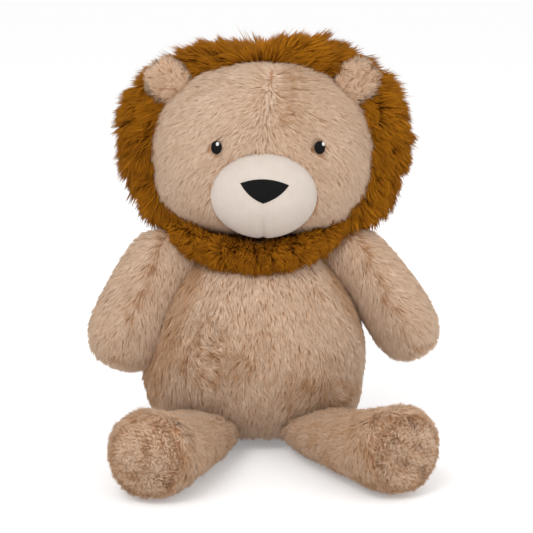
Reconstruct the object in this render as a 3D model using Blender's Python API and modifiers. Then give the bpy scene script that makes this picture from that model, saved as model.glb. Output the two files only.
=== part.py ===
"""A seated plush lion: weighted body, head in a long-pile mane, sewn limbs, ears and a tail.

The lion looks along -Y and sits on the plane Z = 0, with +Z up. Left and right are its own, so its
left side is at +X. Lengths are in metres and angles in degrees. Every soft form is a ball cage whose
rings are moved to shares of the form's size, then rounded by a subdivision.
"""

import math

import bmesh
import bpy
from mathutils import Matrix, Vector

SIDES = {"left": 1, "right": -1}
UP = Vector((0, 0, 1))
FORWARD = Vector((0, -1, 0))

# Cloth and fit
PLUSH_WALL = 0.0058
MUZZLE_WALL = 0.0016
SEAM_GAP = 0.0003
FLOOR_CUT = 0.0005
OVERRUN = 0.04
LARGE_SEGMENTS = 12
SMALL_SEGMENTS = 8
ROUND_SEGMENTS = 48
WELD_SHARE = 0.1

# Body
BODY_WIDTH = 0.164
BODY_DEPTH = 0.132
BODY_HEIGHT = 0.1513
BELLY_SET_FORWARD = 0.004
NECK_DOME_RADIUS = 0.0490
NECK_OPENING_RADIUS = 0.0170
PELLET_BAG_HEIGHT = 0.0220
# Each ring: height, half width, half depth and forward set, the last as a share of BELLY_SET_FORWARD
BODY_RING_SHARES = (
    (0.000, 0.00, 0.00, 0.0),
    (0.000, 0.50, 0.46, 0.0),
    (0.035, 0.84, 0.80, 0.4),
    (0.165, 1.00, 0.98, 0.8),
    (0.360, 1.04, 1.03, 1.0),
    (0.570, 0.95, 0.91, 0.8),
    (0.740, 0.81, 0.75, 0.3),
    (0.875, 0.62, 0.57, 0.0),
    (0.970, 0.30, 0.31, 0.0),
    (1.000, 0.00, 0.00, 0.0),
)

# Head
HEAD_WIDTH = 0.162
HEAD_DEPTH = 0.126
HEAD_HEIGHT = 0.131
HEAD_SINK = 0.0100
HEAD_TILT_BACK = 8
HEAD_SET_ASIDE = 0.0045
NOD_FORWARD = 8
NOD_BACK = 8
# Each ring: height, half width, half depth and forward set
HEAD_RING_SHARES = (
    (0.000, 0.00, 0.00, 0.0),
    (0.005, 0.46, 0.46, 0.0),
    (0.065, 0.78, 0.78, 0.0),
    (0.200, 0.98, 0.98, 0.0),
    (0.385, 1.06, 1.05, 0.0),
    (0.585, 1.05, 1.04, 0.0),
    (0.775, 0.94, 0.94, 0.0),
    (0.915, 0.71, 0.72, 0.0),
    (0.990, 0.38, 0.40, 0.0),
    (1.000, 0.00, 0.00, 0.0),
)

# Mane
MANE_SIDE = 0.0170
MANE_ABOVE = 0.0110
MANE_BELOW = 0.0090
MANE_BEHIND = 0.0160
MANE_SEAM_FORWARD = 0.0160
MANE_THROAT_BACK = 0.0300
MANE_THROAT_HEIGHT = 0.0180
COLLAR_THICKNESS = 0.0170
COLLAR_WIDTH = 0.104
COLLAR_DEPTH = 0.088
COLLAR_DROP = 0.0100
NECK_ROOM_SHARE = 0.85
MANE_RING_SHARES = (
    (0.000, 0.00, 0.00, 0.0),
    (0.020, 0.40, 0.52, 0.0),
    (0.110, 0.72, 0.80, 0.0),
    (0.250, 0.93, 0.97, 0.0),
    (0.420, 1.03, 1.05, 0.0),
    (0.600, 1.06, 1.06, 0.0),
    (0.780, 0.96, 0.96, 0.0),
    (0.910, 0.74, 0.74, 0.0),
    (0.985, 0.42, 0.42, 0.0),
    (1.000, 0.00, 0.00, 0.0),
)

# Face
MUZZLE_WIDTH = 0.0780
MUZZLE_HEIGHT = 0.0660
MUZZLE_STAND_OUT = 0.0150
MUZZLE_BELOW_MIDDLE = 0.0275
MUZZLE_RING_SHARES = (
    (0.00, 0.00, 0.00, 0.0),
    (0.05, 0.66, 0.66, 0.0),
    (0.30, 0.98, 0.98, 0.0),
    (0.62, 1.04, 1.04, 0.0),
    (0.84, 0.84, 0.84, 0.0),
    (0.97, 0.44, 0.44, 0.0),
    (1.00, 0.00, 0.00, 0.0),
)
NOSE_WIDTH = 0.0340
NOSE_HEIGHT = 0.0185
NOSE_STAND_OUT = 0.0022
NOSE_BELOW_MUZZLE_MIDDLE = 0.0005
NOSE_CORNER_SHARE = 0.22
NOSE_POINT_SHARES = ((-0.5, 0.32), (0.0, 0.5), (0.5, 0.32), (0.0, -0.5))
EYE_WIDTH = 0.0074
EYE_HEIGHT = 0.0094
EYE_STAND_OUT = 0.0018
EYE_SPACING = 0.0710
EYE_SET_ASIDE = 0.0042
EYE_ABOVE_MIDDLE = 0.0015
HIGHLIGHT_WIDTH = 0.0022
HIGHLIGHT_HEIGHT = 0.0030
HIGHLIGHT_STAND_OUT = 0.0006
HIGHLIGHT_ASIDE_SHARE = 0.20
HIGHLIGHT_UP_SHARE = 0.24

# Ears
EAR_WIDTH = 0.0330
EAR_HEIGHT = 0.0360
EAR_THICKNESS = 0.0140
EAR_BEARING = 36
EAR_REACH = 0.0998
EAR_FOLD = 25
EAR_RING_SHARES = (
    (0.00, 0.00, 0.00, 0.0),
    (0.04, 0.66, 0.80, 0.0),
    (0.28, 1.00, 1.04, 0.0),
    (0.58, 1.08, 1.00, 0.0),
    (0.84, 0.84, 0.82, 0.0),
    (0.98, 0.42, 0.46, 0.0),
    (1.00, 0.00, 0.00, 0.0),
)

# Arms
ARM_LENGTH = 0.1180
ARM_WIDTH = 0.0530
ARM_DEPTH = 0.0460
ARM_LEAN = {"left": 28, "right": 20}
ARM_FORWARD = {"left": -1, "right": 6}
SHOULDER_OUTSET = 0.0445
SHOULDER_RISE = 0.0100
SHOULDER_PIVOT_DROP = 0.0050
ARM_BEND_IN = 0.0140
ARM_SWING = 30
SHOULDER_ROOM_RADIUS = 0.0600
SHOULDER_ROOM_SPACING = 0.1440
ROOM_STEPS = 36
SPOOL_STEPS = 22
SPOOL_REACH_SHARE = 1.1
SPOOL_LOOKS = 6
SPOOL_SPREAD = 60
SPOOL_CLEARANCE = 0.0009
# Each ring: way along the arm, half depth, half width and inward set as a share of ARM_BEND_IN
ARM_RING_SHARES = (
    (0.00, 0.00, 0.00, 1.00),
    (0.05, 0.54, 0.54, 0.90),
    (0.16, 0.80, 0.86, 0.62),
    (0.38, 0.90, 0.93, 0.20),
    (0.62, 1.00, 1.00, 0.02),
    (0.84, 0.98, 0.98, 0.00),
    (0.97, 0.58, 0.58, 0.00),
    (1.00, 0.00, 0.00, 0.00),
)

# Legs
LEG_LENGTH = 0.1490
LEG_WIDTH = 0.0580
LEG_HEIGHT = 0.0630
LEG_SPLAY = {"left": 26, "right": 14}
HIP_SPACING = 0.0690
HIP_FORWARD = 0.0260
SOLE_SEAM_SHARE = 0.935
LEG_DROP = 40
LEG_RISE = 20
HIP_HEIGHT_SHARE = 0.8
HIP_GAP = 0.0004
# Each ring: way along the leg, half width, half height and the rise of its middle, as shares
LEG_RING_SHARES = (
    (0.00, 0.00, 0.00, 0.64),
    (0.04, 0.74, 0.54, 0.64),
    (0.22, 1.06, 0.72, 0.70),
    (0.48, 1.10, 0.80, 0.77),
    (0.74, 1.09, 0.92, 0.90),
    (0.92, 1.05, 1.04, 1.02),
    (0.99, 0.84, 0.84, 1.02),
    (1.00, 0.00, 0.00, 1.02),
)

# Tail
TAIL_LENGTH = 0.0900
TAIL_WIDTH = 0.0130
TAIL_HEIGHT = 0.0140
TUFT_LENGTH = 0.0420
TUFT_WIDTH = 0.0260
TUFT_OVERLAP_SHARE = 0.33
TAIL_SWING = 35
TAIL_RING_SHARES = (
    (0.00, 0.00, 0.00, 0.0),
    (0.01, 0.70, 0.70, 0.0),
    (0.10, 1.00, 1.00, 0.0),
    (0.90, 1.00, 1.00, 0.0),
    (0.99, 0.70, 0.70, 0.0),
    (1.00, 0.00, 0.00, 0.0),
)
TUFT_RING_SHARES = (
    (0.00, 0.00, 0.00, 0.0),
    (0.03, 0.56, 0.56, 0.0),
    (0.28, 1.02, 1.02, 0.0),
    (0.56, 0.96, 0.96, 0.0),
    (0.84, 0.52, 0.52, 0.0),
    (1.00, 0.00, 0.00, 0.0),
)

# Colours
TAN_PLUSH = (0.57, 0.38, 0.26)
MUSTARD_PILE = (0.40, 0.16, 0.02)
CREAM_CLOTH = (0.76, 0.66, 0.56)
DARK_THREAD = (0.012, 0.011, 0.012)
PALE_THREAD = (0.80, 0.80, 0.80)
WHITE_FILLING = (0.85, 0.85, 0.83)
CALICO = (0.70, 0.63, 0.50)


def clear_scene():
    """Removes what the scene holds, so that the part stands alone."""
    for obj in list(bpy.data.objects):
        bpy.data.objects.remove(obj, do_unlink=True)


def new_collection(name):
    """A collection of this name, linked to the scene."""
    made = bpy.data.collections.new(name)
    bpy.context.scene.collection.children.link(made)
    return made


def plain_material(name, colour, roughness):
    """A material of one colour, with a cloth's sheen left to its roughness."""
    material = bpy.data.materials.new(name)
    material.use_nodes = True
    shader = material.node_tree.nodes["Principled BSDF"]
    shader.inputs["Base Color"].default_value = (*colour, 1)
    shader.inputs["Roughness"].default_value = roughness
    shader.inputs["Metallic"].default_value = 0
    return material


def soft_cage(size, rings, set_length=0, segments=LARGE_SEGMENTS):
    """A ball whose rings lie at shares of size: height, half width, half depth and set along Y.

    The cage is widened by what rounding its corners takes away again.
    """
    steps = len(rings) - 1
    widened = 1 / math.cos(math.pi / segments)
    ball = bmesh.new()
    bmesh.ops.create_uvsphere(ball, u_segments=segments, v_segments=steps, radius=1)
    for vertex in ball.verts:
        polar = math.acos(max(-1, min(1, -vertex.co.z)))
        height, width, depth, forward = rings[round(polar / math.pi * steps)]
        around = Vector((vertex.co.x, vertex.co.y)).normalized() * widened
        vertex.co = Vector(
            (
                around.x * width * size[0] / 2,
                around.y * depth * size[1] / 2 + forward * set_length,
                height * size[2],
            )
        )
    mesh = bpy.data.meshes.new("cage")
    ball.to_mesh(mesh)
    ball.free()
    return mesh


def frame_at(point, along, toward):
    """A place whose Z runs along the form and whose Y leans toward a direction."""
    along = along.normalized()
    across = toward.cross(along).normalized()
    toward = along.cross(across)
    turn = Matrix((across, toward, along)).transposed().to_4x4()
    return Matrix.Translation(point) @ turn


def new_object(name, mesh, material=None, pivot=None):
    """A sub-part, its mesh given in the world and then measured from its joint's empty."""
    obj = bpy.data.objects.new(name, mesh)
    mesh.name = name
    if material:
        parts.objects.link(obj)
        mesh.materials.append(material)
    else:
        cutters.objects.link(obj)
        obj.hide_render = True
        obj.display_type = "WIRE"
    if pivot:
        mesh.transform(Matrix.Translation(-world_point(pivot)))
        obj.parent = pivot
    mesh.shade_smooth()
    return obj


def world_point(pivot):
    """Where an unturned empty stands, through whatever empties carry it."""
    if pivot is None:
        return Vector()
    return pivot.location + world_point(pivot.parent)


def pivot_at(name, point, least, most, parent=None):
    """The empty that stands on a joint's axis, with the joint's least and most turn in degrees."""
    empty = bpy.data.objects.new(name, None)
    empty.location = point - world_point(parent)
    empty.parent = parent
    empty.empty_display_size = OVERRUN
    empty["turn_degrees"] = (least, most)
    parts.objects.link(empty)
    return empty


def surface_point(room, start, direction):
    """Where a line from a start first meets a cutter's rounded form, or zero where it passes by."""
    graph = bpy.context.evaluated_depsgraph_get()
    hit, point, _, _ = room.evaluated_get(graph).ray_cast(start, direction)
    return point if hit else Vector()


def soft_form(name, cage, place, grow=0, wall=0, material=None, pivot=None):
    """One rounded form from a cage, grown or shrunk along its normals, and hollow if it has a wall."""
    mesh = cage.copy()
    mesh.transform(place)
    obj = new_object(name, mesh, material, pivot)
    rounding = obj.modifiers.new("rounding", "SUBSURF")
    rounding.levels = 1
    rounding.render_levels = 1
    if grow:
        displace = obj.modifiers.new("growth", "DISPLACE")
        displace.strength = grow
        displace.mid_level = 0
    if wall:
        shell = obj.modifiers.new("wall", "SOLIDIFY")
        shell.thickness = wall
        shell.offset = -1
        shell.use_even_offset = False
    return obj


def boolean(obj, operation, other):
    """One exact Boolean with a cutter or a form to join."""
    modifier = obj.modifiers.new(operation.lower(), "BOOLEAN")
    modifier.operation = operation
    modifier.object = other
    modifier.solver = "EXACT"


def cut(obj, *others):
    """Takes each of the others away."""
    for other in others:
        boolean(obj, "DIFFERENCE", other)


def keep_inside(obj, other):
    """Keeps only what lies inside the other."""
    boolean(obj, "INTERSECT", other)


def block(name, low, high, place=None):
    """A cutter box between two corners of a place."""
    box = bmesh.new()
    bmesh.ops.create_cube(box, size=1)
    size = Vector(high) - Vector(low)
    middle = (Vector(high) + Vector(low)) / 2
    bmesh.ops.scale(box, vec=size, verts=box.verts)
    bmesh.ops.translate(box, vec=middle, verts=box.verts)
    mesh = bpy.data.meshes.new(name)
    box.to_mesh(mesh)
    box.free()
    if place:
        mesh.transform(place)
    return new_object(name, mesh)


def rod(name, width, depth, length, place):
    """A cutter with an oval section, standing on the place's origin along its Z."""
    bar = bmesh.new()
    bmesh.ops.create_cone(
        bar, cap_ends=True, segments=ROUND_SEGMENTS, radius1=1, radius2=1, depth=1
    )
    bmesh.ops.translate(bar, vec=UP / 2, verts=bar.verts)
    bmesh.ops.scale(bar, vec=(width / 2, depth / 2, length), verts=bar.verts)
    mesh = bpy.data.meshes.new(name)
    bar.to_mesh(mesh)
    bar.free()
    mesh.transform(place)
    return new_object(name, mesh)


def turned(name, other, point, axis, angle):
    """A cutter like the other, turned about an axis through a point."""
    copy = other.copy()
    copy.name = name
    cutters.objects.link(copy)
    to_point = Matrix.Translation(point)
    turn = to_point @ Matrix.Rotation(math.radians(angle), 4, axis) @ to_point.inverted()
    copy.matrix_basis = turn @ other.matrix_basis
    return copy


# Places that more than one piece uses
BODY_PLACE = Matrix.Translation((0, 0, -FLOOR_CUT))
NECK_PIVOT = Vector((0, 0, BODY_HEIGHT - FLOOR_CUT - NECK_DOME_RADIUS))
HEAD_PLACE = (
    Matrix.Translation(NECK_PIVOT)
    @ Matrix.Rotation(-math.radians(HEAD_TILT_BACK), 4, "X")
    @ Matrix.Translation((HEAD_SET_ASIDE, 0, NECK_DOME_RADIUS - HEAD_SINK))
)
MUZZLE_REACH = HEAD_DEPTH / 2 + MUZZLE_STAND_OUT
COLLAR_MIDDLE = Vector((0, 0, BODY_HEIGHT - COLLAR_DROP))
ARM_PIVOT = Vector((0, 0, BODY_HEIGHT - SHOULDER_PIVOT_DROP))


def head_point(across, forward, above_middle):
    """A world point from the head's own middle."""
    return HEAD_PLACE @ Vector((across, -forward, HEAD_HEIGHT / 2 + above_middle))


def looking_out(across, above_middle):
    """A place in the middle of the head whose Z runs out of the face and whose Y runs up."""
    tilt = HEAD_PLACE.to_3x3()
    return frame_at(head_point(across, 0, above_middle), tilt @ FORWARD, tilt @ UP)


def make_body():
    """The plush cover, the filling that bears on it and the pellet bag in its base."""
    cage = soft_cage((BODY_WIDTH, BODY_DEPTH, BODY_HEIGHT), BODY_RING_SHARES, -BELLY_SET_FORWARD)
    wide = BODY_WIDTH + OVERRUN
    floor = block("floor_block", (-wide, -wide, -OVERRUN), (wide, wide, 0))
    neck = rod(
        "neck_bore",
        2 * NECK_OPENING_RADIUS,
        2 * NECK_OPENING_RADIUS,
        NECK_DOME_RADIUS + HEAD_SINK + PLUSH_WALL,
        Matrix.Translation(NECK_PIVOT),
    )
    inside = PLUSH_WALL + SEAM_GAP
    cover = soft_form("body_cover", cage, BODY_PLACE, wall=PLUSH_WALL, material=tan_plush)
    cut(cover, floor, neck)
    bag_top = PLUSH_WALL + PELLET_BAG_HEIGHT
    above_bag = block("above_bag", (-wide, -wide, bag_top), (wide, wide, BODY_HEIGHT + OVERRUN))
    filling_floor = block("filling_floor", (-wide, -wide, -OVERRUN), (wide, wide, bag_top + SEAM_GAP))
    bag = soft_form("pellet_bag", cage, BODY_PLACE, grow=-inside, material=calico)
    cut(bag, above_bag)
    filling = soft_form("body_stuffing", cage, BODY_PLACE, grow=-inside, material=white_filling)
    cut(filling, filling_floor)
    room = soft_form("body_room", cage, BODY_PLACE, grow=SEAM_GAP)
    hip_room = soft_form("hip_room", cage, BODY_PLACE, grow=HIP_GAP)
    return room, hip_room, floor


def seated_radius(body_room, half_width):
    """How far from the nodding axis the body's top reaches round the neck's opening."""
    graph = bpy.context.evaluated_depsgraph_get()
    reach = 0
    for vertex in body_room.evaluated_get(graph).data.vertices:
        offset = vertex.co - NECK_PIVOT
        aside = math.hypot(offset.x, offset.y)
        if offset.z > 0 and NECK_OPENING_RADIUS < aside < 2 * NECK_OPENING_RADIUS:
            bulge = math.sqrt(1 - (offset.x / half_width) ** 2)
            reach = max(reach, math.hypot(offset.y, offset.z) / bulge)
    return reach


def revolved(name, outline, middle):
    """A cutter turned about a line along X. Its outline gives places along that line and radii."""
    turned_form = bmesh.new()
    corners = [turned_form.verts.new((along, 0, -radius)) for along, radius in outline]
    for first, second in zip(corners, corners[1:]):
        turned_form.edges.new((first, second))
    bmesh.ops.spin(
        turned_form,
        geom=turned_form.verts[:] + turned_form.edges[:],
        axis=(1, 0, 0),
        cent=(0, 0, 0),
        angle=2 * math.pi,
        steps=ROUND_SEGMENTS,
        use_merge=True,
    )
    bmesh.ops.remove_doubles(turned_form, verts=turned_form.verts, dist=SEAM_GAP * WELD_SHARE)
    bmesh.ops.recalc_face_normals(turned_form, faces=turned_form.faces)
    mesh = bpy.data.meshes.new(name)
    turned_form.to_mesh(mesh)
    turned_form.free()
    mesh.transform(Matrix.Translation(middle))
    return new_object(name, mesh)


def neck_room(name, body_room, grow):
    """The room that neck and shoulders need under the head, turned about the nodding axis.

    Its radius at a place along the axis is the largest of three balls', grown so that flats clear.
    """
    half_width = BODY_WIDTH * NECK_ROOM_SHARE / 2
    shoulder = SHOULDER_ROOM_RADIUS
    balls = [(0, half_width, seated_radius(body_room, half_width))]
    balls += [(sign * SHOULDER_ROOM_SPACING / 2, shoulder, shoulder) for sign in SIDES.values()]
    outside = 1 / math.cos(math.pi / ROUND_SEGMENTS) ** 2
    far = SHOULDER_ROOM_SPACING / 2 + shoulder + grow
    outline = []
    for step in range(-ROOM_STEPS, ROOM_STEPS + 1):
        along = far * step / ROOM_STEPS
        shares = [((along - middle) / (half + grow)) ** 2 for middle, half, _ in balls]
        radii = [
            (radius + grow) * math.sqrt(max(0, 1 - share))
            for share, (_, _, radius) in zip(shares, balls)
        ]
        outline.append((along, max(radii) * outside if abs(step) < ROOM_STEPS else 0))
    return revolved(name, outline, NECK_PIVOT)


def make_head(room, filling_room):
    """The head's cover and filling. Both sit on the dome that the body makes under them."""
    cage = soft_cage((HEAD_WIDTH, HEAD_DEPTH, HEAD_HEIGHT), HEAD_RING_SHARES)
    cover = soft_form(
        "head_cover", cage, HEAD_PLACE, wall=PLUSH_WALL, material=tan_plush, pivot=nod
    )
    cut(cover, room)
    inside = PLUSH_WALL + SEAM_GAP
    filling = soft_form(
        "head_stuffing", cage, HEAD_PLACE, grow=-inside, material=white_filling, pivot=nod
    )
    cut(filling, filling_room)
    return cage


def collar_ring(name):
    """The collar as a flattened ring."""
    bpy.ops.mesh.primitive_torus_add(
        major_segments=ROUND_SEGMENTS,
        minor_segments=SMALL_SEGMENTS,
        major_radius=(COLLAR_WIDTH - COLLAR_THICKNESS) / 2,
        minor_radius=COLLAR_THICKNESS / 2,
    )
    torus = bpy.context.object
    ring = torus.data.copy()
    bpy.data.objects.remove(torus)
    flatten = Matrix.Diagonal((1, COLLAR_DEPTH / COLLAR_WIDTH, 1, 1))
    ring.transform(Matrix.Translation(COLLAR_MIDDLE) @ flatten)
    return new_object(name, ring, mustard_pile, nod)


def make_mane(head_room, room):
    """A padded hood of long pile behind the face, and a collar of the same pile under the chin."""
    width = HEAD_WIDTH + 2 * MANE_SIDE
    depth = HEAD_DEPTH + 2 * MANE_BEHIND
    height = HEAD_HEIGHT + MANE_ABOVE + MANE_BELOW
    cage = soft_cage((width, depth, height), MANE_RING_SHARES)
    place = HEAD_PLACE @ Matrix.Translation(-UP * MANE_BELOW)
    hood = soft_form("mane", cage, place, material=mustard_pile, pivot=nod)
    far = HEAD_WIDTH
    low = (-far, -far, -far)
    face = block("face_opening", low, (far, -MANE_SEAM_FORWARD, 2 * far), HEAD_PLACE)
    throat_top = (far, MANE_THROAT_BACK, MANE_THROAT_HEIGHT)
    cut(hood, face, block("throat", low, throat_top, HEAD_PLACE))
    cut(hood, head_room, room)
    collar = collar_ring("mane_collar")
    seam = -(MANE_SEAM_FORWARD + SEAM_GAP)
    keep_inside(collar, block("before_hood", (-far, -far, -far), (far, seam, far), HEAD_PLACE))
    cut(collar, head_room, room)


def make_muzzle(head_room):
    """The domed cloth of the muzzle and the padding under it."""
    size = (MUZZLE_WIDTH, MUZZLE_HEIGHT, MUZZLE_REACH)
    cage = soft_cage(size, MUZZLE_RING_SHARES)
    place = looking_out(0, -MUZZLE_BELOW_MIDDLE)
    cover = soft_form(
        "muzzle_cover", cage, place, wall=MUZZLE_WALL, material=cream_cloth, pivot=nod
    )
    cut(cover, head_room)
    inside = MUZZLE_WALL + SEAM_GAP
    padding = soft_form(
        "muzzle_padding", cage, place, grow=-inside, material=white_filling, pivot=nod
    )
    cut(padding, head_room)
    return cage, place


def nose_outline(place):
    """The nose's rounded triangle as a filled curve, made a mesh so that it can cut."""
    outline = bpy.data.curves.new("nose_outline", "CURVE")
    outline.dimensions = "2D"
    outline.fill_mode = "BOTH"
    outline.extrude = MUZZLE_REACH / 2
    outline.resolution_u = SMALL_SEGMENTS // 2
    spline = outline.splines.new("BEZIER")
    corners = [
        Vector((x * NOSE_WIDTH, y * NOSE_HEIGHT, 0)) for x, y in NOSE_POINT_SHARES
    ]
    spline.bezier_points.add(len(corners) - 1)
    spline.use_cyclic_u = True
    count = len(corners)
    for index, (point, corner) in enumerate(zip(spline.bezier_points, corners)):
        run = (corners[(index + 1) % count] - corners[index - 1]) * NOSE_CORNER_SHARE / 2
        point.co = corner
        point.handle_left = corner - run
        point.handle_right = corner + run
    guide = bpy.data.objects.new("nose_outline", outline)
    cutters.objects.link(guide)
    graph = bpy.context.evaluated_depsgraph_get()
    mesh = bpy.data.meshes.new_from_object(guide.evaluated_get(graph))
    bpy.data.objects.remove(guide)
    weld = bmesh.new()
    weld.from_mesh(mesh)
    bmesh.ops.remove_doubles(weld, verts=weld.verts, dist=SEAM_GAP * WELD_SHARE)
    bmesh.ops.recalc_face_normals(weld, faces=weld.faces)
    weld.to_mesh(mesh)
    weld.free()
    mesh.transform(place @ Matrix.Translation(UP * MUZZLE_REACH))
    return new_object("nose_outline", mesh)


def make_nose(cage, place):
    """A satin-stitched patch that follows the muzzle."""
    outline = nose_outline(place @ Matrix.Translation((0, -NOSE_BELOW_MUZZLE_MIDDLE, 0)))
    under = soft_form("muzzle_room", cage, place, grow=SEAM_GAP)
    nose = soft_form(
        "nose", cage, place, grow=NOSE_STAND_OUT, material=dark_thread, pivot=nod
    )
    keep_inside(nose, outline)
    cut(nose, under)


def make_eyes(cage):
    """Two stitched ovals that follow the face, each with a small pale highlight on it."""
    under = soft_form("eye_bed", cage, HEAD_PLACE, grow=SEAM_GAP)
    over = soft_form("highlight_bed", cage, HEAD_PLACE, grow=EYE_STAND_OUT + SEAM_GAP)
    for side, sign in SIDES.items():
        across = EYE_SET_ASIDE + sign * EYE_SPACING / 2
        place = looking_out(across, EYE_ABOVE_MIDDLE)
        oval = rod(f"eye_outline_{side}", EYE_WIDTH, EYE_HEIGHT, HEAD_DEPTH, place)
        eye = soft_form(
            f"eye_{side}", cage, HEAD_PLACE, grow=EYE_STAND_OUT, material=dark_thread, pivot=nod
        )
        keep_inside(eye, oval)
        cut(eye, under)
        aside = HIGHLIGHT_ASIDE_SHARE * EYE_WIDTH
        above = HIGHLIGHT_UP_SHARE * EYE_HEIGHT
        spot_place = looking_out(across + aside, EYE_ABOVE_MIDDLE + above)
        spot_name = f"highlight_outline_{side}"
        spot = rod(spot_name, HIGHLIGHT_WIDTH, HIGHLIGHT_HEIGHT, HEAD_DEPTH, spot_place)
        highlight = soft_form(
            f"eye_highlight_{side}",
            cage,
            HEAD_PLACE,
            grow=EYE_STAND_OUT + SEAM_GAP + HIGHLIGHT_STAND_OUT,
            material=pale_thread,
            pivot=nod,
        )
        keep_inside(highlight, spot)
        cut(highlight, over)


def make_ear(side, head_room):
    """One ear in front of the mane, hinged at the front of its base."""
    bearing = math.radians(EAR_BEARING)
    tilt = HEAD_PLACE.to_3x3()
    out = tilt @ Vector((SIDES[side] * math.cos(bearing), 0, math.sin(bearing)))
    forward = MANE_SEAM_FORWARD + SEAM_GAP + EAR_THICKNESS / 2
    base = head_point(0, forward, 0) + out * (EAR_REACH - EAR_HEIGHT)
    front = base + tilt @ FORWARD * EAR_THICKNESS / 2
    hinge = pivot_at(f"ear_{side}_hinge", front, 0, EAR_FOLD, nod)
    cage = soft_cage((EAR_WIDTH, EAR_THICKNESS, EAR_HEIGHT), EAR_RING_SHARES, 0, SMALL_SEGMENTS)
    place = frame_at(base, out, tilt @ FORWARD)
    ear = soft_form(f"ear_{side}", cage, place, material=tan_plush, pivot=hinge)
    cut(ear, head_room)


def shoulder_spool(body_room):
    """A spool about the arms' swing axis whose dished ends follow the body's sides.

    An arm cut by it swings without rubbing, because the cut is a surface of revolution.
    """
    reach = ARM_LENGTH * SPOOL_REACH_SHARE
    ends = []
    widest = 0
    for step in range(SPOOL_STEPS + 1):
        drop = reach * step / SPOOL_STEPS
        for look in range(-SPOOL_LOOKS, SPOOL_LOOKS + 1):
            bearing = math.radians(SPOOL_SPREAD) * look / SPOOL_LOOKS
            y = drop * math.sin(bearing)
            z = ARM_PIVOT.z - drop * math.cos(bearing)
            side = surface_point(body_room, Vector((BODY_WIDTH, y, z)), Vector((-1, 0, 0)))
            widest = max(widest, side.x + SPOOL_CLEARANCE)
        ends.append((widest, drop))
    outline = ends + [(-along, radius) for along, radius in reversed(ends)]
    return revolved("shoulder_spool", outline, ARM_PIVOT)


def make_arm(side, body_room, spool):
    """One arm, narrow at the shoulder seam and round at the paw, with its filling."""
    sign = SIDES[side]
    lean = math.radians(ARM_LEAN[side])
    forward = math.radians(ARM_FORWARD[side])
    along = Vector((sign * math.sin(lean), -math.sin(forward), -math.cos(lean)))
    inward = Vector((-sign, 0, 0))
    outside = ARM_PIVOT - inward * BODY_WIDTH
    seam = surface_point(body_room, outside, inward)
    shoulder = seam - inward * SHOULDER_OUTSET + UP * SHOULDER_RISE
    place = frame_at(shoulder, along, inward)
    size = (ARM_DEPTH, ARM_WIDTH, ARM_LENGTH)
    cage = soft_cage(size, ARM_RING_SHARES, ARM_BEND_IN, SMALL_SEGMENTS)
    hinge = pivot_at(f"arm_{side}_hinge", seam, 0, ARM_SWING)
    cover = soft_form(
        f"arm_cover_{side}", cage, place, wall=PLUSH_WALL, material=tan_plush, pivot=hinge
    )
    cut(cover, spool)
    filling = soft_form(
        f"arm_stuffing_{side}",
        cage,
        place,
        grow=-(PLUSH_WALL + SEAM_GAP),
        material=white_filling,
        pivot=hinge,
    )
    cut(filling, spool)


def make_leg(side, hip_room, floor):
    """One leg lying on the floor, with its sole as a panel of its own and its filling."""
    splay = math.radians(LEG_SPLAY[side])
    along = Vector((SIDES[side] * math.sin(splay), -math.cos(splay), 0))
    root = Vector((SIDES[side] * HIP_SPACING / 2, -HIP_FORWARD, -FLOOR_CUT))
    place = frame_at(root, along, UP)
    size = (LEG_WIDTH, LEG_HEIGHT, LEG_LENGTH)
    cage = soft_cage(size, LEG_RING_SHARES, LEG_HEIGHT / 2, SMALL_SEGMENTS)
    hip_ring = LEG_RING_SHARES[2]
    hip_height = HIP_HEIGHT_SHARE * (hip_ring[2] + hip_ring[3]) * LEG_HEIGHT / 2
    hip = surface_point(hip_room, root + along * LEG_LENGTH + UP * hip_height, -along)
    hinge = pivot_at(f"leg_{side}_hinge", hip, -LEG_DROP, LEG_RISE)
    dropped = turned(f"dropped_room_{side}", hip_room, hip, along.cross(UP), LEG_DROP)
    raised = turned(f"raised_room_{side}", hip_room, hip, along.cross(UP), -LEG_RISE)
    wide = LEG_WIDTH + OVERRUN
    seam = SOLE_SEAM_SHARE * LEG_LENGTH
    beyond = block(
        f"beyond_seam_{side}", (-wide, -wide, seam), (wide, wide, LEG_LENGTH + wide), place
    )
    before = block(
        f"before_seam_{side}", (-wide, -wide, -wide), (wide, wide, seam + SEAM_GAP), place
    )
    cover = soft_form(
        f"leg_cover_{side}", cage, place, wall=PLUSH_WALL, material=tan_plush, pivot=hinge
    )
    cut(cover, hip_room, dropped, raised, floor, beyond)
    sole = soft_form(
        f"foot_sole_{side}", cage, place, wall=PLUSH_WALL, material=tan_plush, pivot=hinge
    )
    cut(sole, floor, before)
    filling = soft_form(
        f"leg_stuffing_{side}",
        cage,
        place,
        grow=-(PLUSH_WALL + SEAM_GAP),
        material=white_filling,
        pivot=hinge,
    )
    cut(filling, hip_room, dropped, raised)


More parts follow.
